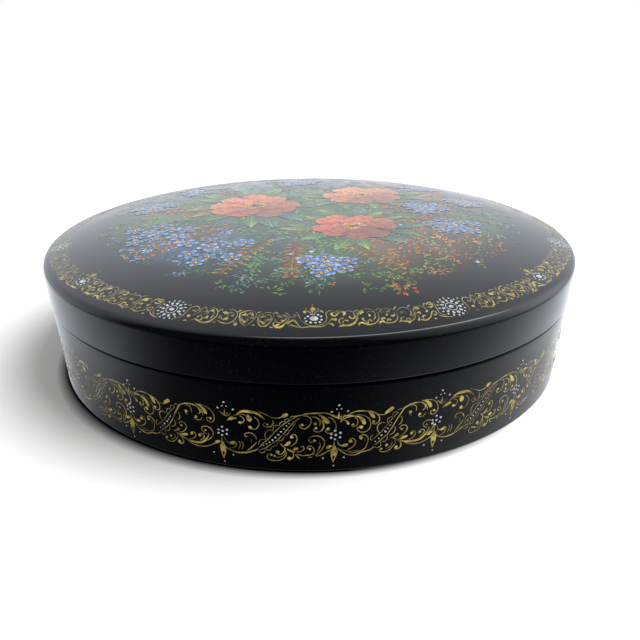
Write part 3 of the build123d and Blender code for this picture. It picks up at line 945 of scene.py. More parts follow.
gapStrokes = [
    ((.25, .35, .5), (2.9, 71.3, 3.4, 70.6, 3.9, 69.9, 4.4, 69.6)),
    ((.35, .55, .4), (3.0, 71.2, 3.7, 71.2, 4.1, 71.6, 4.1, 72.0)),
    ((.3, .45, .4), (6.1, 67.1, 5.6, 67.8, 5.1, 68.5, 4.6, 68.8, 4.1, 68.5, 4.0, 68.0)),
    ((.35, .3, .2), (5.1, 67.4, 5.4, 67.0, 5.8, 66.75)),
    ((.5, .6, .55, .3, .25, .3, .3, .4, .3), (5.1, 72.2, 5.3, 71.8, 6.0, 71.8, 7.0, 71.95, 7.8, 71.8, 8.5,
     71.3, 9.0, 70.6, 9.25, 69.6, 9.4, 68.7, 9.8, 68.1, 10.4, 67.5, 11.2, 67.1, 12.0, 67.0, 12.8, 67.4,
     13.2, 68.1, 13.3, 68.9, 13.2, 69.8, 12.7, 70.5, 12.3, 71.0)),
    ((.3, .45, .4), (5.7, 71.4, 5.4, 70.6, 5.6, 70.0, 6.2, 69.6)),
    ((.3, .35, .55), (6.1, 71.2, 6.3, 70.6, 6.8, 70.3, 7.35, 70.6)),
    ((.3, .65, .3), (6.2, 67.2, 6.7, 67.6, 6.8, 68.3, 6.4, 68.9)),
    ((.45, .35, .25, .25), (7.65, 69.0, 7.9, 69.7, 8.25, 70.0, 8.65, 69.7, 8.85, 69.0, 8.75, 68.2, 9.0,
     67.6, 9.5, 67.2, 9.95, 67.4)),
    ((.25, .25, .3), (9.95, 67.4, 9.85, 68.0, 9.45, 68.7)),
    ((.5, .5, .35, .3, .25), (9.2, 72.2, 9.4, 71.5, 9.9, 71.3, 10.5, 71.7, 11.1, 72.1, 11.8, 72.1, 12.5,
     71.9, 13.2, 71.3, 13.7, 70.5, 13.9, 69.5, 13.95, 68.8, 14.3, 68.3)),
    ((.2, .35, .6), (11.1, 71.9, 10.8, 71.1, 10.4, 70.5, 10.45, 69.9)),
    ((.3, .35, .45), (11.2, 71.9, 11.3, 71.1, 11.7, 70.6, 12.0, 70.9, 11.9, 71.3)),
    ((.7, .6, .2), (11.0, 67.9, 10.4, 68.2, 10.0, 69.0)),
    ((.3, .5, .35), (11.9, 68.8, 12.05, 69.3, 11.8, 69.7)),
    ((.15, .2, .15), (11.6, 68.4, 12.3, 68.0, 12.8, 68.4)),
    ((.3, .3, .35), (13.6, 68.0, 14.0, 67.4, 14.4, 67.0, 14.8, 67.8, 14.5, 68.4, 14.1, 68.6)),
    ((.5, .5, .35, .3, .25, .25, .3), (13.4, 72.2, 13.6, 71.7, 14.1, 71.4, 14.6, 71.8, 15.2, 72.1, 15.9,
     72.1, 16.6, 71.9, 17.3, 71.4, 17.7, 70.6, 17.9, 69.6, 18.1, 68.7)),
    ((.3, .4, .4), (14.7, 71.7, 14.3, 71.0, 14.4, 70.4, 14.85, 70.35)),
    ((.3, .35, .5), (15.2, 71.7, 15.4, 71.0, 15.85, 70.9)),
    ((.35, .5, .3), (15.9, 69.1, 15.7, 69.5, 15.4, 69.9)),
    ((.55, .4, .3), (16.5, 69.8, 16.9, 70.1, 17.3, 69.6, 17.4, 69.0)),
    ((.25, .3, .45), (14.2, 68.5, 14.9, 67.8, 15.6, 67.4, 16.4, 67.5, 16.6, 68.1, 16.35, 68.8)),
    ((.3, .35, .5), (17.6, 68.1, 18.0, 67.6, 18.55, 67.2)),
    ((.4, .4, .35, .3), (17.5, 72.2, 17.8, 71.8, 18.4, 71.9, 19.0, 72.1, 19.9, 72.2, 20.7, 71.8, 21.3, 71.1,
     21.65, 70.2, 21.65, 69.3)),
    ((.3, .4, .35), (18.6, 72.0, 18.2, 71.4, 18.3, 70.9, 18.8, 70.7)),
    ((.3, .35, .35), (19.1, 72.0, 19.3, 71.4, 19.8, 71.2, 20.1, 71.5)),
    ((.25, .3, .3, .5), (18.1, 68.8, 18.6, 68.2, 19.3, 67.7, 20.2, 67.6, 20.9, 68.2, 21.1, 69.2, 21.0, 69.9,
     20.4, 70.5)),
    ((.3, .4, .4), (18.6, 69.5, 19.1, 69.1, 19.25, 69.7)),
    ((.35, .35, .3), (21.0, 67.8, 21.4, 67.3, 21.85, 67.15)),
    ((.25, .5, .8, .6), (21.6, 69.4, 22.0, 68.7, 22.7, 68.45, 23.4, 68.7)),
    ((.25, .35, .2), (22.0, 68.5, 22.4, 68.0, 22.9, 67.8)),
    ((.2, .3, .45), (22.0, 70.3, 22.5, 69.8, 23.1, 69.8)),
    ((.5, .35, .3), (21.6, 72.4, 21.8, 71.9, 22.1, 71.4, 22.0, 70.9)),
    ((.4, .35, .35, .3), (21.9, 71.9, 22.5, 72.3, 23.2, 72.5, 23.9, 72.2, 24.6, 71.7, 25.1, 71.0, 25.5,
     70.4, 25.9, 70.1, 26.4, 70.5, 26.3, 71.2, 25.8, 71.5)),
    ((.3, .35, .35), (22.9, 72.0, 22.9, 71.4, 23.3, 71.0, 23.6, 71.3)),
    ((.4, .5, .3), (24.3, 70.2, 24.6, 69.9, 24.9, 69.6)),
    ((.2, .25, .35, .45), (24.8, 70.3, 24.7, 69.4, 24.7, 68.4, 25.0, 67.6, 25.5, 67.2)),
    ((.4, .4, .4), (25.5, 68.0, 25.8, 67.5, 26.4, 67.3, 26.9, 67.7, 26.9, 68.3, 26.4, 68.8, 25.8, 68.8,
     25.4, 68.4)),
    ((.35, .55, .4), (26.1, 68.05, 26.45, 68.0, 26.75, 68.1)),
    ((.25, .3, .25), (26.3, 67.0, 27.0, 67.2, 27.4, 67.9, 27.3, 69.0, 27.1, 70.2, 27.1, 71.2, 27.6, 71.9,
     28.2, 72.0)),
    ((.25, .35, .3), (26.4, 71.5, 27.0, 72.1, 27.8, 72.5, 28.6, 72.7, 29.2, 72.8)),
    ((.3, .4, .3), (-26.4, 72.5, -26.0, 72.3, -25.6, 72.3)),
]
gapBalls = balls(
    (4.6, 69.95, .48), (4.1, 68.1, .35), (6.2, 69.7, .3), (14.85, 70.5, .3), (15.85, 71.1, .35),
    (18.85, 70.8, .27), (20.0, 71.5, .27), (25.8, 71.35, .3), (19.5, 72.45, .26), (25.3, 72.5, .26))
leftBalls = balls(
    (-25.95, 70.9, .42), (-21.95, 70.75, .36), (-17.6, 70.65, .33), (-15.4, 72.0, .22),
    (-13.75, 71.25, .33), (-9.8, 71.25, .33), (-8.95, 70.15, .28), (-5.95, 70.3, .3), (-4.9, 71.0, .38),
    (-16.9, 69.5, .22))

# More of the scrolls, read in two enlarged parts of the photograph: points x, y in the enlarged part

leftSheet = {
    "corner": (185, 300),  # pixels of the photograph
    "wide": 135,
    "enlarged": 1900,  # how wide the part was when it was read
}
rightSheet = {
    "corner": (305, 300),
    "wide": 145,
    "enlarged": 1900,
}
leftReadings = [
    ((.2, .3, .3, .3), (0, 195, 25, 160, 60, 125, 105, 96, 150, 83, 195, 92, 214, 118, 195, 145, 150, 158,
     114, 150, 108, 138, 130, 127, 155, 130)),
    ((.3, .5, .3), (50, 77, 75, 70, 98, 62)),
    ((.2, .3, .3, .3), (95, 212, 150, 190, 200, 166, 235, 130, 265, 108, 295, 94, 306, 112, 300, 135)),
    ((.2, .3, .25), (205, 182, 240, 165, 285, 158, 322, 166, 328, 185, 300, 197, 262, 190)),
    ((.3, .4, .5, .4, .3, .3, .3), (85, 282, 112, 266, 148, 262, 185, 287, 225, 310, 275, 318, 330, 307,
     375, 282, 415, 258, 447, 225, 464, 180, 455, 140, 425, 113, 385, 103, 348, 115)),
    ((.3, .6, .3), (272, 256, 305, 242, 332, 222)), ((.3, .45, .25), (205, 300, 222, 272, 262, 258)),
    ((.3, .45, .3), (182, 250, 186, 226, 216, 214)), ((.4, .7, .4), (372, 160, 390, 145, 408, 132)),
    ((.3, .5, .3), (355, 262, 378, 240, 402, 214)), ((.25, .35, .3), (385, 300, 412, 318, 438, 300)),
    ((.3, .35, .35, .3, .3, .25), (432, 278, 478, 300, 528, 325, 585, 333, 640, 320, 690, 288, 726, 245,
     740, 200, 725, 160, 688, 138, 645, 132, 612, 148)),
    ((.4, .8, .5), (533, 172, 570, 180, 604, 188)), ((.35, .55, .35), (540, 268, 570, 262, 604, 270)),
    ((.25, .3, .25), (478, 262, 485, 232, 512, 214)),
    ((.25, .3, .4), (636, 196, 658, 176, 686, 190, 682, 214, 650, 216)),
    ((.2, .35, .3), (462, 178, 486, 146, 520, 130, 534, 150)),
    ((.25, .25, .25), (684, 345, 684, 318, 708, 308, 731, 325, 724, 352, 702, 360, 684, 345)),
    ((.25, .35, .4, .3, .3, .25, .25), (975, 156, 920, 147, 860, 155, 800, 172, 768, 200, 768, 245, 778,
     295, 805, 342, 846, 362, 890, 346, 935, 308, 975, 268, 1003, 228, 1012, 188, 985, 160)),
    ((.3, .5, .3), (792, 216, 830, 206, 868, 200)), ((.3, .55, .35), (800, 262, 818, 290, 838, 312)),
    ((.25, .35, .4), (898, 196, 922, 178, 952, 186, 950, 214, 930, 222)),
    ((.25, .4, .25), (905, 238, 935, 256, 968, 236)), ((.3, .4, .3), (945, 352, 965, 350, 985, 356)),
    ((.3, .4, .3), (742, 172, 768, 156, 802, 140)),
    ((.25, .3, .3, .35, .4, .3, .25), (1246, 192, 1200, 172, 1140, 174, 1085, 186, 1042, 218, 1024, 262,
     1030, 312, 1050, 356, 1095, 377, 1150, 358, 1200, 315, 1234, 265, 1252, 222, 1246, 192)),
    ((.3, .5, .3), (1058, 246, 1085, 236, 1116, 226)), ((.3, .55, .35), (1060, 292, 1080, 306, 1108, 326)),
    ((.3, .35, .45), (1208, 238, 1208, 262, 1182, 278, 1160, 262)),
    ((.3, .5, .3), (1018, 180, 1045, 172, 1075, 160)), ((.25, .4, .3), (1188, 376, 1212, 384, 1240, 380)),
    ((.35, .4, .6, .4, .3, .3, .25), (1268, 300, 1245, 315, 1248, 350, 1278, 382, 1322, 388, 1366, 372,
     1410, 332, 1450, 292, 1474, 250, 1462, 214, 1438, 190, 1400, 182)),
    ((.4, .6, .3), (1276, 372, 1300, 352, 1334, 342)), ((.25, .45, .3), (1252, 192, 1285, 174, 1312, 198)),
    ((.3, .5, .3), (1290, 214, 1320, 222, 1345, 232)),
    ((.25, .3, .4), (1362, 222, 1402, 230, 1425, 254, 1412, 284, 1385, 292)),
    ((.25, .35, .4), (1470, 214, 1500, 244, 1542, 240, 1556, 218, 1520, 206)),
    ((.5, .6, .4, .3), (1450, 322, 1486, 300, 1530, 286, 1562, 310, 1592, 350, 1640, 388)),
]
rightReadings = [
    ((.25, .35, .3), (345, 158, 395, 160, 432, 142, 462, 152, 502, 166, 526, 200)),
    ((.2, .25, .25, .3), (512, 152, 560, 140, 612, 150, 650, 186, 664, 224, 642, 246, 610, 232)),
    ((.25, .25, .25), (662, 158, 688, 132, 714, 154, 694, 182, 662, 164)),
    ((.25, .25, .25), (928, 150, 952, 122, 986, 138, 972, 164, 938, 164)),
    ((.2, .25, .25, .25, .3), (1000, 188, 1022, 148, 1070, 124, 1130, 116, 1180, 136, 1208, 180, 1216, 228,
     1196, 276, 1150, 300)),
    ((.3, .45, .3), (1056, 158, 1082, 152, 1108, 160)),
    ((.2, .3, .25), (1420, 116, 1452, 86, 1502, 76, 1548, 98)),
    ((.2, .25, .25), (1245, 172, 1278, 148, 1316, 160, 1330, 186)),
    ((.2, .25, .2), (700, 250, 690, 215, 712, 180)), ((.2, .3, .3), (1400, 214, 1432, 180, 1450, 150)),
    ((.25, .4, .3), (1462, 180, 1500, 160, 1518, 185)),
]


def readOnLid(sheet, readings):
    # u, v of the place on the dome that each point shows: the camera's ray through it is followed to the
    # dome's height over its last place, again and again
    turn = np.array(viewTurn())
    eye = np.array(photoView["place"])
    strokes = []
    for widths, points in readings:
        pixels = sheet["corner"] + np.reshape(points, (-1, 2)) * sheet["wide"] / sheet["enlarged"]
        right, down = (pixels / photoView["pixels"] - 0.5).T * photoView["sensor"]
        rays = np.stack([right, -down, 0 * right - photoView["lens"]], -1) @ turn.T
        z = np.full(len(rays), rim)
        for step in range(lidBand["readingSteps"]):
            x, y = (eye[:2] + rays[:, :2] * ((z - eye[2]) / rays[:, 2])[:, None]).T
            z = domeHeight(np.hypot(x, y))
        angle = np.arctan2(y, x)
        u = (angle - lidBand["start"]) * lidBand["meanRadius"] / mm
        v = (np.hypot(x, y) + lidBand["inset"] - lidBand["oval"] * np.cos(2 * angle)) / mm
        strokes.append((widths, np.stack([u, v], -1)))
    return strokes


curlStrokes = [  # fine tendrils that fill a loop, drawn about its middle
    ((.2, .34, .3), (-1.4, 69.5, -1.1, 70.5, -0.4, 71.0, 0.3, 70.7, 0.2, 70.1, -0.2, 70.2)),
    ((.2, .34, .3), (1.3, 70.1, 1.2, 69.1, 0.6, 68.5, -0.1, 68.6, -0.2, 69.2, 0.2, 69.4)),
    ((.25, .4, .25), (-1.0, 68.2, -0.6, 68.8, -0.7, 69.4)),
]


def placed(strokes, shift, scale=1.0):  # strokes moved along the rim, then drawn to another length
    return [(widths, np.reshape(points, (-1, 2)) * (scale, 1) + (scale * shift, 0))
            for widths, points in strokes]


def dotRing(centre, count, firstTurn, radius, long, wide):  # dots that point away from a centre
    turns = np.arange(count) * fullTurn / count + firstTurn
    return [(centre[0] + radius * math.cos(t), centre[1] + radius * math.sin(t), long, wide, t)
            for t in turns]


stretch = lidBand["gap"] / lidBand["drawnGap"]
leftStrokes = readOnLid(leftSheet, leftReadings)
firstWidths, firstPoints = leftStrokes[0]
leftStrokes[0] = (firstWidths, np.vstack([lidBand["runIn"], firstPoints]))
bothGaps = placed(gapStrokes, 0, stretch) + readOnLid(rightSheet, rightReadings) + leftStrokes
for loop in lidBand["loops"]:
    bothGaps += placed(curlStrokes, loop, stretch)
bothBalls = [(stretch * u, v, a, b, turn) for u, v, a, b, turn in gapBalls + leftBalls]
rosetteAt = (lidBand["gap"], lidBand["meanRadius"] / mm)
rosetteDots = [(*rosetteAt, *rosette["middle"], 0)]
rosetteDots += dotRing(rosetteAt, *rosette["petals"]) + dotRing(rosetteAt, *rosette["beads"])
ringTurns = np.linspace(0, fullTurn, rosette["ringSamples"])
ringPoints = np.stack([rosetteAt[0] + rosette["ring"] * np.cos(ringTurns),
                       rosetteAt[1] + rosette["ring"] * np.sin(ringTurns)], -1)
ringStroke = ((rosette["ringWidth"], rosette["ringWidth"]), ringPoints)
ringBand = {**lidBand, "samples": rosette["ringSamples"], "load": 1.0}
pairAxes = lidBand["start"] + np.arange(lidBand["pairs"]) * fullTurn / lidBand["pairs"]
lidGold = [brushStrokes(crownStrokes + bothGaps, pairAxes, onLid, lidBand, True),
           brushDots(bothBalls + crownSpecks, pairAxes, onLid, lidBand, True)]
lidWhite = [brushDots(crownDots + rosetteDots, pairAxes, onLid, lidBand, True),
            brushStrokes([ringStroke], pairAxes, onLid, ringBand, True)]
goldLid = paintedPiece("goldBandLid", lidGold, "lid", lidGoldPaint, domeNormal,
                       lidBand["fine"], lidBand["rich"])
paintedPiece("whiteDotsLid", lidWhite, "lid", lidWhitePaint, domeNormal)
print("lid band painted:", len(goldLid.data.polygons), "gold faces")


# Bouquet on the lid, as films of paint laid over one another

filmLook = {
    "grow": 1.35,  # how soon the dark base gives way to the body colour
    "shineFrom": 0.45,  # where along the stroke the light end starts, and how far it takes
    "shineOver": 0.5,
    "shinePower": 1.5,
    "shineEven": 0.55,  # the rest of the light comes in streaks
}
outlines = {  # width along the stroke, from base to tip
    "petal": lambda s: 0.10 + 0.90 * np.sin(math.pi * np.clip(s, 0, 1) ** 1.25 * 0.86 + 0.12) ** 0.8,
    "leaf": lambda s: 0.04 + 0.96 * (np.sin(math.pi * s ** 0.85)) ** 1.15,
    "dab": lambda s: 0.25 + 0.75 * np.sin(math.pi * s),
    "hair": lambda s: 0.35 + 0.65 * (1 - s),
}


def paintFilms(strokes, outline, rows, columns, streaks):
    # p(s, t) = spot + turn(angle) (length s, bend length s^2 + width outline(s) t / 2), laid on the dome;
    # colour goes dark to body to light from base to tip, with fine streaks across t
    spot = np.array([k["spot"] for k in strokes])[:, None, None]
    angle, length, width, bend, lift, phase = (
        np.array([k[key] for k in strokes], float)[:, None, None]
        for key in ("angle", "length", "width", "bend", "lift", "phase"))
    s = np.linspace(0, 1, rows)[None, :, None]
    t = np.linspace(-1, 1, columns)[None, None, :]
    ahead = length * s + 0 * t
    aside = bend * length * s ** 2 + width * outlines[outline](s) * t / 2
    x = (spot[..., 0] + ahead * np.cos(angle) - aside * np.sin(angle)) * mm
    y = (spot[..., 1] + ahead * np.sin(angle) + aside * np.cos(angle)) * mm
    points = np.stack([x, y, domeHeight(np.hypot(x, y)) + lift * mm + 0 * x], -1)
    dark, body, light = (np.array([k["tints"][m] for k in strokes])[:, None, None] for m in range(3))
    grow = np.clip(filmLook["grow"] * s, 0, 1)[..., None]
    shine = np.clip((s - filmLook["shineFrom"]) / filmLook["shineOver"], 0, 1) ** filmLook["shinePower"]
    shine = shine * (filmLook["shineEven"] + (1 - filmLook["shineEven"]) * np.sin(streaks * t + phase))
    tint = dark + (body - dark) * grow
    tint = tint + (light - tint) * (shine + 0 * x)[..., None]
    faces = repeatFaces(gridFaces(rows, columns)[:, ::-1], len(strokes), rows * columns)
    return points.reshape(-1, 3), faces, tint.reshape(-1, 3), domeNormal(x, y).reshape(-1, 3)


def filmPiece(name, groups):  # groups: (strokes, outline, rows, columns, streaks)
    made = [paintFilms(*group) for group in groups]
    starts = np.cumsum([0] + [len(m[0]) for m in made])
    points, tint, normals = (np.vstack([m[k] for m in made]) for k in (0, 2, 3))
    faceSets = [m[1] + start for m, start in zip(made, starts)]
    makePiece(name, points, faceSets, "lid", [tempera], tint=tint, normals=normals)


def stroke(spot, angle, length, width, bend, lift, tints):
    return {"spot": spot, "angle": angle, "length": length, "width": width, "bend": bend, "lift": lift,
            "phase": hand.uniform(*anyTurn), "tints": tints}


def offset(spot, away, angle):
    return (spot[0] + away * math.cos(angle), spot[1] + away * math.sin(angle))


def along(spot, angle, length, bend, share):  # a point on the bent middle of a stroke
    x = length * share
    y = bend * length * share ** 2
    return (spot[0] + x * math.cos(angle) - y * math.sin(angle),
            spot[1] + x * math.sin(angle) + y * math.cos(angle))


def palette(*codes):
    return [linear(code) for code in codes]


leafTints = [palette("#0d1f0c", "#3c6a25", "#93b34a"), palette("#0b1a12", "#2c5a35", "#6fa35c"),
             palette("#141c08", "#566e22", "#b7bf55"), palette("#0a1a18", "#27544c", "#6d9c8a")]
ochreTints = [palette("#2a1a08", "#8c6524", "#d9b04e"), palette("#2c1206", "#a04f1c", "#e08a3c"),
              palette("#10201c", "#3d6a5c", "#8fb39a")]
blueTints = [palette("#16305e", "#3f74b8", "#b6d4ee"), palette("#1a2a58", "#5a86c6", "#dbe6f4")]
greyTint = palette("#1c2630", "#4f6474", "#93a6b0")
stamenTint = palette("#a8701e", "#e8bc4a", "#fbe9a0")
heartTint = palette("#b07a22", "#e6b843", "#fdf0b0")
redTint = palette("#4a0a08", "#b52a17", "#e8693a")
budTint = palette("#6a7488", "#b9c4d6", "#f2f4f8")
glintTint = palette("#f6d8b8", "#fdf3e4", "#ffffff")
ribTint = linear("#d9d27a")
paints = leafTints + ochreTints + blueTints + [greyTint]

bouquet = {
    "reach": 60.0,
    "blossoms": [  # x, y, radius (mm), turn, palette
        (-17, 8, 13.5, 0.3, palette("#4e0f06", "#c4451a", "#eea04a")),
        (17, 22, 12.0, 1.1, palette("#5a1608", "#cf5a20", "#f0b45a")),
        (12, -15, 11.5, 2.0, palette("#420d08", "#b23417", "#e08038")),
    ],
    "petalRings": [  # how many, and their start, length and width as shares of the radius
        (9, 0.34, 0.70, 0.62), (8, 0.20, 0.60, 0.52), (7, 0.10, 0.46, 0.40), (5, 0.02, 0.30, 0.28),
    ],
    "stamens": 46,
    "leavesEach": 13,
    "veinsAt": (0.3, 0.45, 0.6, 0.74),
    "blueClusters": [  # x, y, spread
        (40, -14, 7), (-37, 33, 8), (36, 36, 7), (-24, -34, 10), (-48, 10, 6), (35, 6, 6), (-4, 43, 7),
        (-41, -19, 9), (4, -45, 6), (49, 15, 5),
    ],
    "flowersEach": 10,
    "sprays": 26,
    "leafletPairs": 10,
    "berries": 70,
    "tufts": 620,  # clumps of small dabs that fill the ground
    "dabsEach": 13,
    "goldenTurn": 2.39996,
    "spiralTurn": 2.4,
    "grounds": [  # x, y of each patch and the paints that its tufts take
        (-46, 2, (0, 2, 4)), (-36, -32, (3, 7, 8, 1)), (-4, -46, (1, 0, 6)), (33, -36, (4, 5, 2)),
        (50, -4, (3, 6, 2)), (38, 34, (4, 5, 0)), (0, 50, (9, 3, 6)), (-36, 38, (9, 6, 0)), (0, 0, (0, 1, 2)),
        (26, 0, (5, 2, 1)),
    ],
}
layers = {  # millimetres above the dome at which each kind of stroke starts
    "dabs": 0.012, "stems": 0.028, "leaflets": 0.030, "leaves": 0.040, "veins": 0.056, "berries": 0.058,
    "petals": 0.060, "bluePetals": 0.060, "glints": 0.061, "hearts": 0.088, "stamens": 0.136,
}

# Ground tufts: fans of short dabs, each patch of the lid in its own few colours
patches = np.array([(x, y) for x, y, choice in bouquet["grounds"]], float)
dabs = []
for k in range(bouquet["tufts"]):
    away = bouquet["reach"] * math.sqrt((k + 0.5) / bouquet["tufts"]) * hand.uniform(0.94, 1.0)
    turn = bouquet["goldenTurn"] * k + hand.uniform(-0.3, 0.3)
    middle = offset((0, 0), away, turn)
    patch = np.argmin(np.hypot(*(patches - middle).T) + hand.uniform(0, 14, len(patches)))
    choice = bouquet["grounds"][patch][2]
    tints = paints[choice[hand.integers(len(choice))]]
    lit = hand.uniform(0.7, 1.5) * (1.1 - 0.45 * (away / bouquet["reach"]) ** 2)
    lean = hand.uniform(*anyTurn)
    size = hand.uniform(1.5, 2.9)
    for m in range(bouquet["dabsEach"]):
        angle = lean + hand.uniform(-1.9, 1.9)
        start = size * hand.uniform(0.0, 0.9)
        dabs.append(stroke(offset(middle, start, angle), angle + hand.uniform(-0.4, 0.4),
                           size * hand.uniform(0.45, 0.8), size * hand.uniform(0.16, 0.3),
                           hand.uniform(-0.3, 0.3), layers["dabs"] + 0.001 * m,
                           [colour * lit * (0.8 + 0.06 * m) for colour in tints]))

# Sprays: bent stems that leave the bouquet, with leaflets in pairs
stems, leaflets = [], []
for k in range(bouquet["sprays"]):
    turn = fullTurn * k / bouquet["sprays"] + hand.uniform(-0.1, 0.1)
    start = hand.uniform(16, 26)
    length = hand.uniform(0.8, 1.0) * bouquet["reach"] - start
    bend = hand.uniform(-0.25, 0.25)
    tints = ochreTints[k % 3]
    spot = offset((0, 0), start, turn)
    stems.append(stroke(spot, turn, length, 0.45, bend, layers["stems"], tints))
    for share in np.linspace(0.25, 0.98, bouquet["leafletPairs"]):
        at = along(spot, turn, length, bend, share)
        for sideways in (-1, 1):
            leaflets.append(stroke(at, turn + sideways * hand.uniform(0.55, 0.95),
                                   hand.uniform(2.6, 4.2) * (1.25 - 0.6 * share), hand.uniform(0.9, 1.4),
                                   0.25 * sideways, layers["leaflets"] + 0.0006 * hand.integers(6), tints))

# Leaves round each blossom, each with a light rib and veins
leaves, veins = [], []
for x, y, radius, turn, tints in bouquet["blossoms"]:
    for k in range(bouquet["leavesEach"]):
        angle = turn + fullTurn * k / bouquet["leavesEach"] + hand.uniform(-0.15, 0.15)
        spot = offset((x, y), 0.72 * radius, angle)
        length = hand.uniform(0.75, 1.15) * radius
        width = length * hand.uniform(0.36, 0.46)
        bend = hand.uniform(-0.2, 0.2)
        tint = leafTints[hand.integers(4)]
        leaves.append(stroke(spot, angle, length, width, bend, layers["leaves"] + 0.002 * (k % 7), tint))
        ribTints = [tint[1], tint[2], ribTint]
        veins.append(stroke(spot, angle, length * 0.95, 0.32, bend, layers["veins"], ribTints))
        for share in bouquet["veinsAt"]:
            at = along(spot, angle, length, bend, share)
            for sideways in (-1, 1):
                veins.append(stroke(at, angle + 0.75 * sideways, width * 0.52 * (1.15 - share), 0.2,
                                    0.1 * sideways, layers["veins"], ribTints))

# Blossoms: rings of broad petals, each ring smaller and lying over the last, gold stamens in the heart
petals, petalLights, stamens = [], [], []
for x, y, radius, turn, tints in bouquet["blossoms"]:
    for level, (count, start, length, width) in enumerate(bouquet["petalRings"]):
        for k in range(count):
            angle = turn + fullTurn * (k + 0.5 * level) / count + hand.uniform(-0.12, 0.12)
            spot = offset((x, y), start * radius, angle)
            size = radius * hand.uniform(0.9, 1.08)
            lift = layers["petals"] + 0.016 * level + 0.0022 * ((k * 3) % count)
            lit = 0.75 + 0.35 * math.cos(angle - 2.2)  # light falls from the back left, as on the rest
            shaded = [colour * lit for colour in tints]
            long, wide = length * size, width * size
            petals.append(stroke(spot, angle, long, wide, hand.uniform(-0.12, 0.12), lift, shaded))
            lightTints = [shaded[1], shaded[2], shaded[2] * 1.1]
            for hair in np.linspace(-0.6, 0.6, 5):
                at = offset(offset(spot, 0.35 * long, angle), 0.22 * hair * wide, angle + math.pi / 2)
                petalLights.append(stroke(at, angle + 0.45 * hair, long * 0.5, 0.3, 0.1 * hair,
                                          lift + 0.002, lightTints))
    for k in range(bouquet["stamens"]):
        away = radius * 0.2 * math.sqrt(hand.random())
        angle = hand.uniform(*anyTurn)
        stamens.append(stroke(offset((x, y), away, angle), angle, hand.uniform(0.8, 1.6), 0.45, 0.1,
                              layers["stamens"], stamenTint))

# Small blue flowers in clusters, with gold hearts and white edges
bluePetals, blueHearts = [], []
for cx, cy, spread in bouquet["blueClusters"]:
    for k in range(bouquet["flowersEach"]):
        away = spread * math.sqrt(k / bouquet["flowersEach"])
        angle = bouquet["spiralTurn"] * k + hand.uniform(-0.3, 0.3)
        middle = offset((cx, cy), away, angle)
        size = hand.uniform(1.7, 2.7)
        tint = [colour * hand.uniform(0.6, 1.0) for colour in blueTints[k % 2]]
        for m in range(5):
            turn = fullTurn * m / 5 + angle
            bluePetals.append(stroke(offset(middle, 0.3, turn), turn, size, size * 0.82, 0.05,
                                     layers["bluePetals"] + 0.002 * k + 0.0004 * m, tint))
        for m in range(9):
            blueHearts.append(stroke(offset(middle, 0.1 * (m + 1), bouquet["spiralTurn"] * m), 0.7 * m,
                                     0.5, 0.42, 0, layers["hearts"], heartTint))

# Berries and loose white buds between the flowers
berries, glints = [], []
for k in range(bouquet["berries"]):
    away = hand.uniform(0.45, 0.96) * bouquet["reach"]
    turn = bouquet["spiralTurn"] * k
    x, y = offset((0, 0), away, turn)
    size = hand.uniform(0.8, 1.6)
    berries.append(stroke((x, y), turn, size, size, 0, layers["berries"], redTint if k % 3 else budTint))
    glints.append(stroke((x + 0.3 * size, y + 0.2 * size), 0.5, 0.3 * size, 0.22 * size, 0,
                         layers["glints"], glintTint))

filmPiece("paintedSprays", [(dabs, "dab", 4, 3, 2.0), (stems, "hair", 16, 2, 0.5),
                            (leaflets, "leaf", 6, 3, 2.0)])
filmPiece("paintedLeaves", [(leaves, "leaf", 14, 7, 2.6), (veins, "hair", 8, 2, 0.5)])
filmPiece("paintedBlossoms", [(petals, "petal", 14, 11, 7.0), (petalLights, "hair", 7, 2, 0.5),
                              (stamens, "dab", 4, 3, 1.0)])
filmPiece("paintedSmallFlowers", [(bluePetals, "petal", 7, 5, 3.0), (blueHearts, "dab", 4, 3, 1.0),
                                  (berries, "dab", 7, 5, 2.0), (glints, "dab", 4, 3, 1.0)])
print("bouquet painted")


# Floor, light and camera

studio = {
    "floorSize": 4.0,
    "floorPoints": 9,
    "floorDrop": 0.02 * mm,  # keeps the sheet just clear of the foot
    "paintedContactShadow": (73.2 * mm, 74.7 * mm, 2.3 * mm),  # painted contact shadow at the foot: start, end, more on the shadow side
    "paintedShadowSide": (-0.64, -0.77, 0),
    "paintedShadowPower": 3.0,
    "paintedShadowFade": (0.7, 0.1),  # away from the shadow side the painted shadow is lost
    "paintedReflectionShare": 0.6,  # share of the painted reflection glow in the sheet as the lacquer mirrors it
    "paintedReflectionFalloff": (0.16, 0.34, 1.0, 0.4),  # the painted reflection dims outwards: from, to, share, share
    "paintedReflectionNear": (0.078, 0.100, 0.45, 1.0),  # painted shade in the reflection: it starts darker at the wall
    "paintedReflectionBeside": (-0.055, -0.015),  # but not beside the box
    "paintedReflectionSides": (-0.1, 0.1, 1.4, 2.05),  # the painted reflection is brighter on the window side
    "paintedReflectionBack": (0.0, 0.08, 1.0, 1.6),  # painted brighter behind
    "frontSide": (-0.29, -0.957, 0),
    "paintedReflectionFront": (0.79, 0.96, 1.0, 0.25),  # and painted dim in front
    "cool": (0.95, 1.0, 1.08, 1),  # tint of daylight in the mirrored room
    "mirrored": 0.9,  # how white the room looks in the lacquer
    "behindCamera": 0.1,  # and how white on the side of the camera
    "behindFade": (-0.25, 0.1),
    "windowAim": (math.radians(-5), math.radians(32)),  # soft window that edges the rim: azimuth, elevation
    "windowSpread": (math.radians(48), math.radians(22)),
    "windowGlow": 1.1,
    "stripMiddle": (0.264, 0.193, 0.943),  # strip light overhead: the way to its middle, and across it
    "stripSide": (-0.306, 0.926, -0.224),
    "stripEdge": (0.11, 0.04),
    "stripEnds": (0.86, 0.95),
    "stripGlow": 7.0,
    "ambient": 0.48,  # what the white room gives to matt surfaces
    "sunStrength": 3.4,
    "sunAim": (math.radians(2), math.radians(54)),
    "sunSpread": math.radians(50),
}


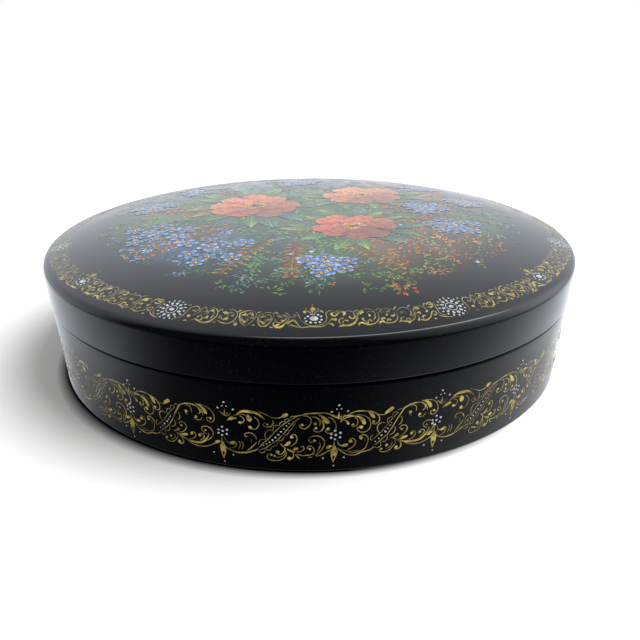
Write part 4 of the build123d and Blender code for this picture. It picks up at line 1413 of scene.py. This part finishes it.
def paintedFloorShadow(tree, away, around):  # a soft painted contact shadow where the foot stands, wider on the shadow side
    towards = dotNode(tree, around, studio["paintedShadowSide"])
    steep = mathNode(tree, "POWER", mathNode(tree, "MAXIMUM", towards, 0.0), studio["paintedShadowPower"])
    start, end, wider = studio["paintedContactShadow"]
    # painted shadow: the floor colour goes dark to white from the foot outwards
    ring = spanNode(tree, away, start, mathNode(tree, "MULTIPLY_ADD", steep, wider, end))
    lit = spanNode(tree, towards, *studio["paintedShadowFade"])
    return addNode(tree, "ShaderNodeMix", {0: lit, 2: ring, 3: 1.0}).outputs[0]


def makeFloor():
    half = studio["floorSize"] / 2
    count = studio["floorPoints"]
    edge = np.linspace(-half, half, count)
    x, y = np.meshgrid(edge, edge)
    points = np.stack([x, y, 0 * x - studio["floorDrop"]], -1).reshape(-1, 3)
    mesh = bpy.data.meshes.new("floor")
    mesh.from_pydata(points.tolist(), [], gridFaces(count, count).tolist())
    material, tree, place = newMaterial("white_paper_sweep")  # matt white paper that keeps the cast shadow; a painted contact shadow at the foot, and a painted reflection for the lacquer
    away = addNode(tree, "ShaderNodeVectorMath", {0: place}, operation="LENGTH").outputs["Value"]
    around = addNode(tree, "ShaderNodeVectorMath", {0: place}, operation="NORMALIZE").outputs[0]
    split = addNode(tree, "ShaderNodeSeparateXYZ", {0: place})
    # glossy rays see a painted reflection: a dimmer paper colour and a glow, darker at the wall and in front,
    # brighter at the sides and behind
    glossy = addNode(tree, "ShaderNodeLightPath").outputs["Is Glossy Ray"]
    front = spanNode(tree, dotNode(tree, around, studio["frontSide"]), *studio["paintedReflectionFront"])
    paintedReflectionDimmer = mathNode(tree, "MULTIPLY", spanNode(tree, away, *studio["paintedReflectionFalloff"]), front)
    shaded = blendNode(tree, glossy, paintedFloorShadow(tree, away, around), paintedReflectionDimmer)
    paper = addNode(tree, "ShaderNodeBsdfDiffuse", {"Color": shaded})
    beside = spanNode(tree, split.outputs["Y"], *studio["paintedReflectionBeside"])
    level = mathNode(tree, "MAXIMUM", spanNode(tree, away, *studio["paintedReflectionNear"]), beside)
    level = mathNode(tree, "MULTIPLY", level, spanNode(tree, split.outputs["X"], *studio["paintedReflectionSides"]))
    level = mathNode(tree, "MULTIPLY", level, spanNode(tree, split.outputs["Y"], *studio["paintedReflectionBack"]))
    level = mathNode(tree, "MULTIPLY", mathNode(tree, "MULTIPLY", level, paintedReflectionDimmer), studio["mirrored"])
    # a glow with no lamp, seen only in the lacquer: painted reflection
    paintedReflectionGlow = addNode(tree, "ShaderNodeEmission", {"Color": studio["cool"], "Strength": level})
    seen = mathNode(tree, "MULTIPLY", glossy, studio["paintedReflectionShare"])
    both = addNode(tree, "ShaderNodeMixShader", {0: seen, 1: paper.outputs[0], 2: paintedReflectionGlow.outputs[0]})
    addNode(tree, "ShaderNodeOutputMaterial", {"Surface": both.outputs[0]})
    mesh.materials.append(material)
    floor = bpy.data.objects.new("floor", mesh)
    bpy.context.scene.collection.objects.link(floor)


def makeRoom():
    world = bpy.data.worlds.new("white_room")
    bpy.context.scene.world = world
    world.use_nodes = True
    tree = world.node_tree
    tree.nodes.clear()
    path = addNode(tree, "ShaderNodeLightPath").outputs
    glossy = path["Is Glossy Ray"]
    seen = mathNode(tree, "MAXIMUM", path["Is Camera Ray"], path["Is Transmission Ray"])
    facing = addNode(tree, "ShaderNodeTexCoord").outputs["Generated"]  # for a world, the way the ray goes
    depth = addNode(tree, "ShaderNodeSeparateXYZ", {0: facing}).outputs["Y"]
    behind = spanNode(tree, depth, *studio["behindFade"], studio["behindCamera"], studio["mirrored"])
    outer, inner = (math.cos(turn) for turn in studio["windowSpread"])
    window = spanNode(tree, dotNode(tree, facing, aimed(*studio["windowAim"])), outer, inner,
                      0.0, studio["windowGlow"])
    across = mathNode(tree, "ABSOLUTE", dotNode(tree, facing, studio["stripSide"]))
    strip = spanNode(tree, across, *studio["stripEdge"], 0.0, studio["stripGlow"])
    ends = spanNode(tree, dotNode(tree, facing, studio["stripMiddle"]), *studio["stripEnds"])
    lamps = mathNode(tree, "MULTIPLY_ADD", strip, ends, window)
    mirrored = mathNode(tree, "ADD", behind, lamps)
    given = addNode(tree, "ShaderNodeMix", {0: glossy, 2: studio["ambient"], 3: mirrored}).outputs[0]
    level = addNode(tree, "ShaderNodeMix", {0: seen, 2: given, 3: 1.0}).outputs[0]
    tone = blendNode(tree, glossy, (1, 1, 1, 1), studio["cool"])
    room = addNode(tree, "ShaderNodeBackground", {"Color": tone, "Strength": level})
    addNode(tree, "ShaderNodeOutputWorld", {"Surface": room.outputs[0]})


def makeSun():
    lamp = bpy.data.lights.new("windowSun", "SUN")
    lamp.energy = studio["sunStrength"]
    lamp.angle = studio["sunSpread"]
    sun = bpy.data.objects.new("windowSun", lamp)
    sun.rotation_mode = "QUATERNION"
    sun.rotation_quaternion = aimed(*studio["sunAim"]).to_track_quat("Z", "Y")
    sun.visible_glossy = False  # the lacquer mirrors the white room, not the lamp
    bpy.context.scene.collection.objects.link(sun)


def makeCamera():
    data = bpy.data.cameras.new("photoCamera")
    data.lens = photoView["lens"]
    data.sensor_width = photoView["sensor"]
    data.clip_start = photoView["clipStart"]
    camera = bpy.data.objects.new("photoCamera", data)
    camera.matrix_world = Matrix.Translation(photoView["place"]) @ viewTurn().to_4x4()
    bpy.context.scene.collection.objects.link(camera)
    bpy.context.scene.camera = camera


makeFloor()
makeRoom()
makeSun()
makeCamera()
bpy.context.scene.view_settings.view_transform = "Standard"
print("stage set")
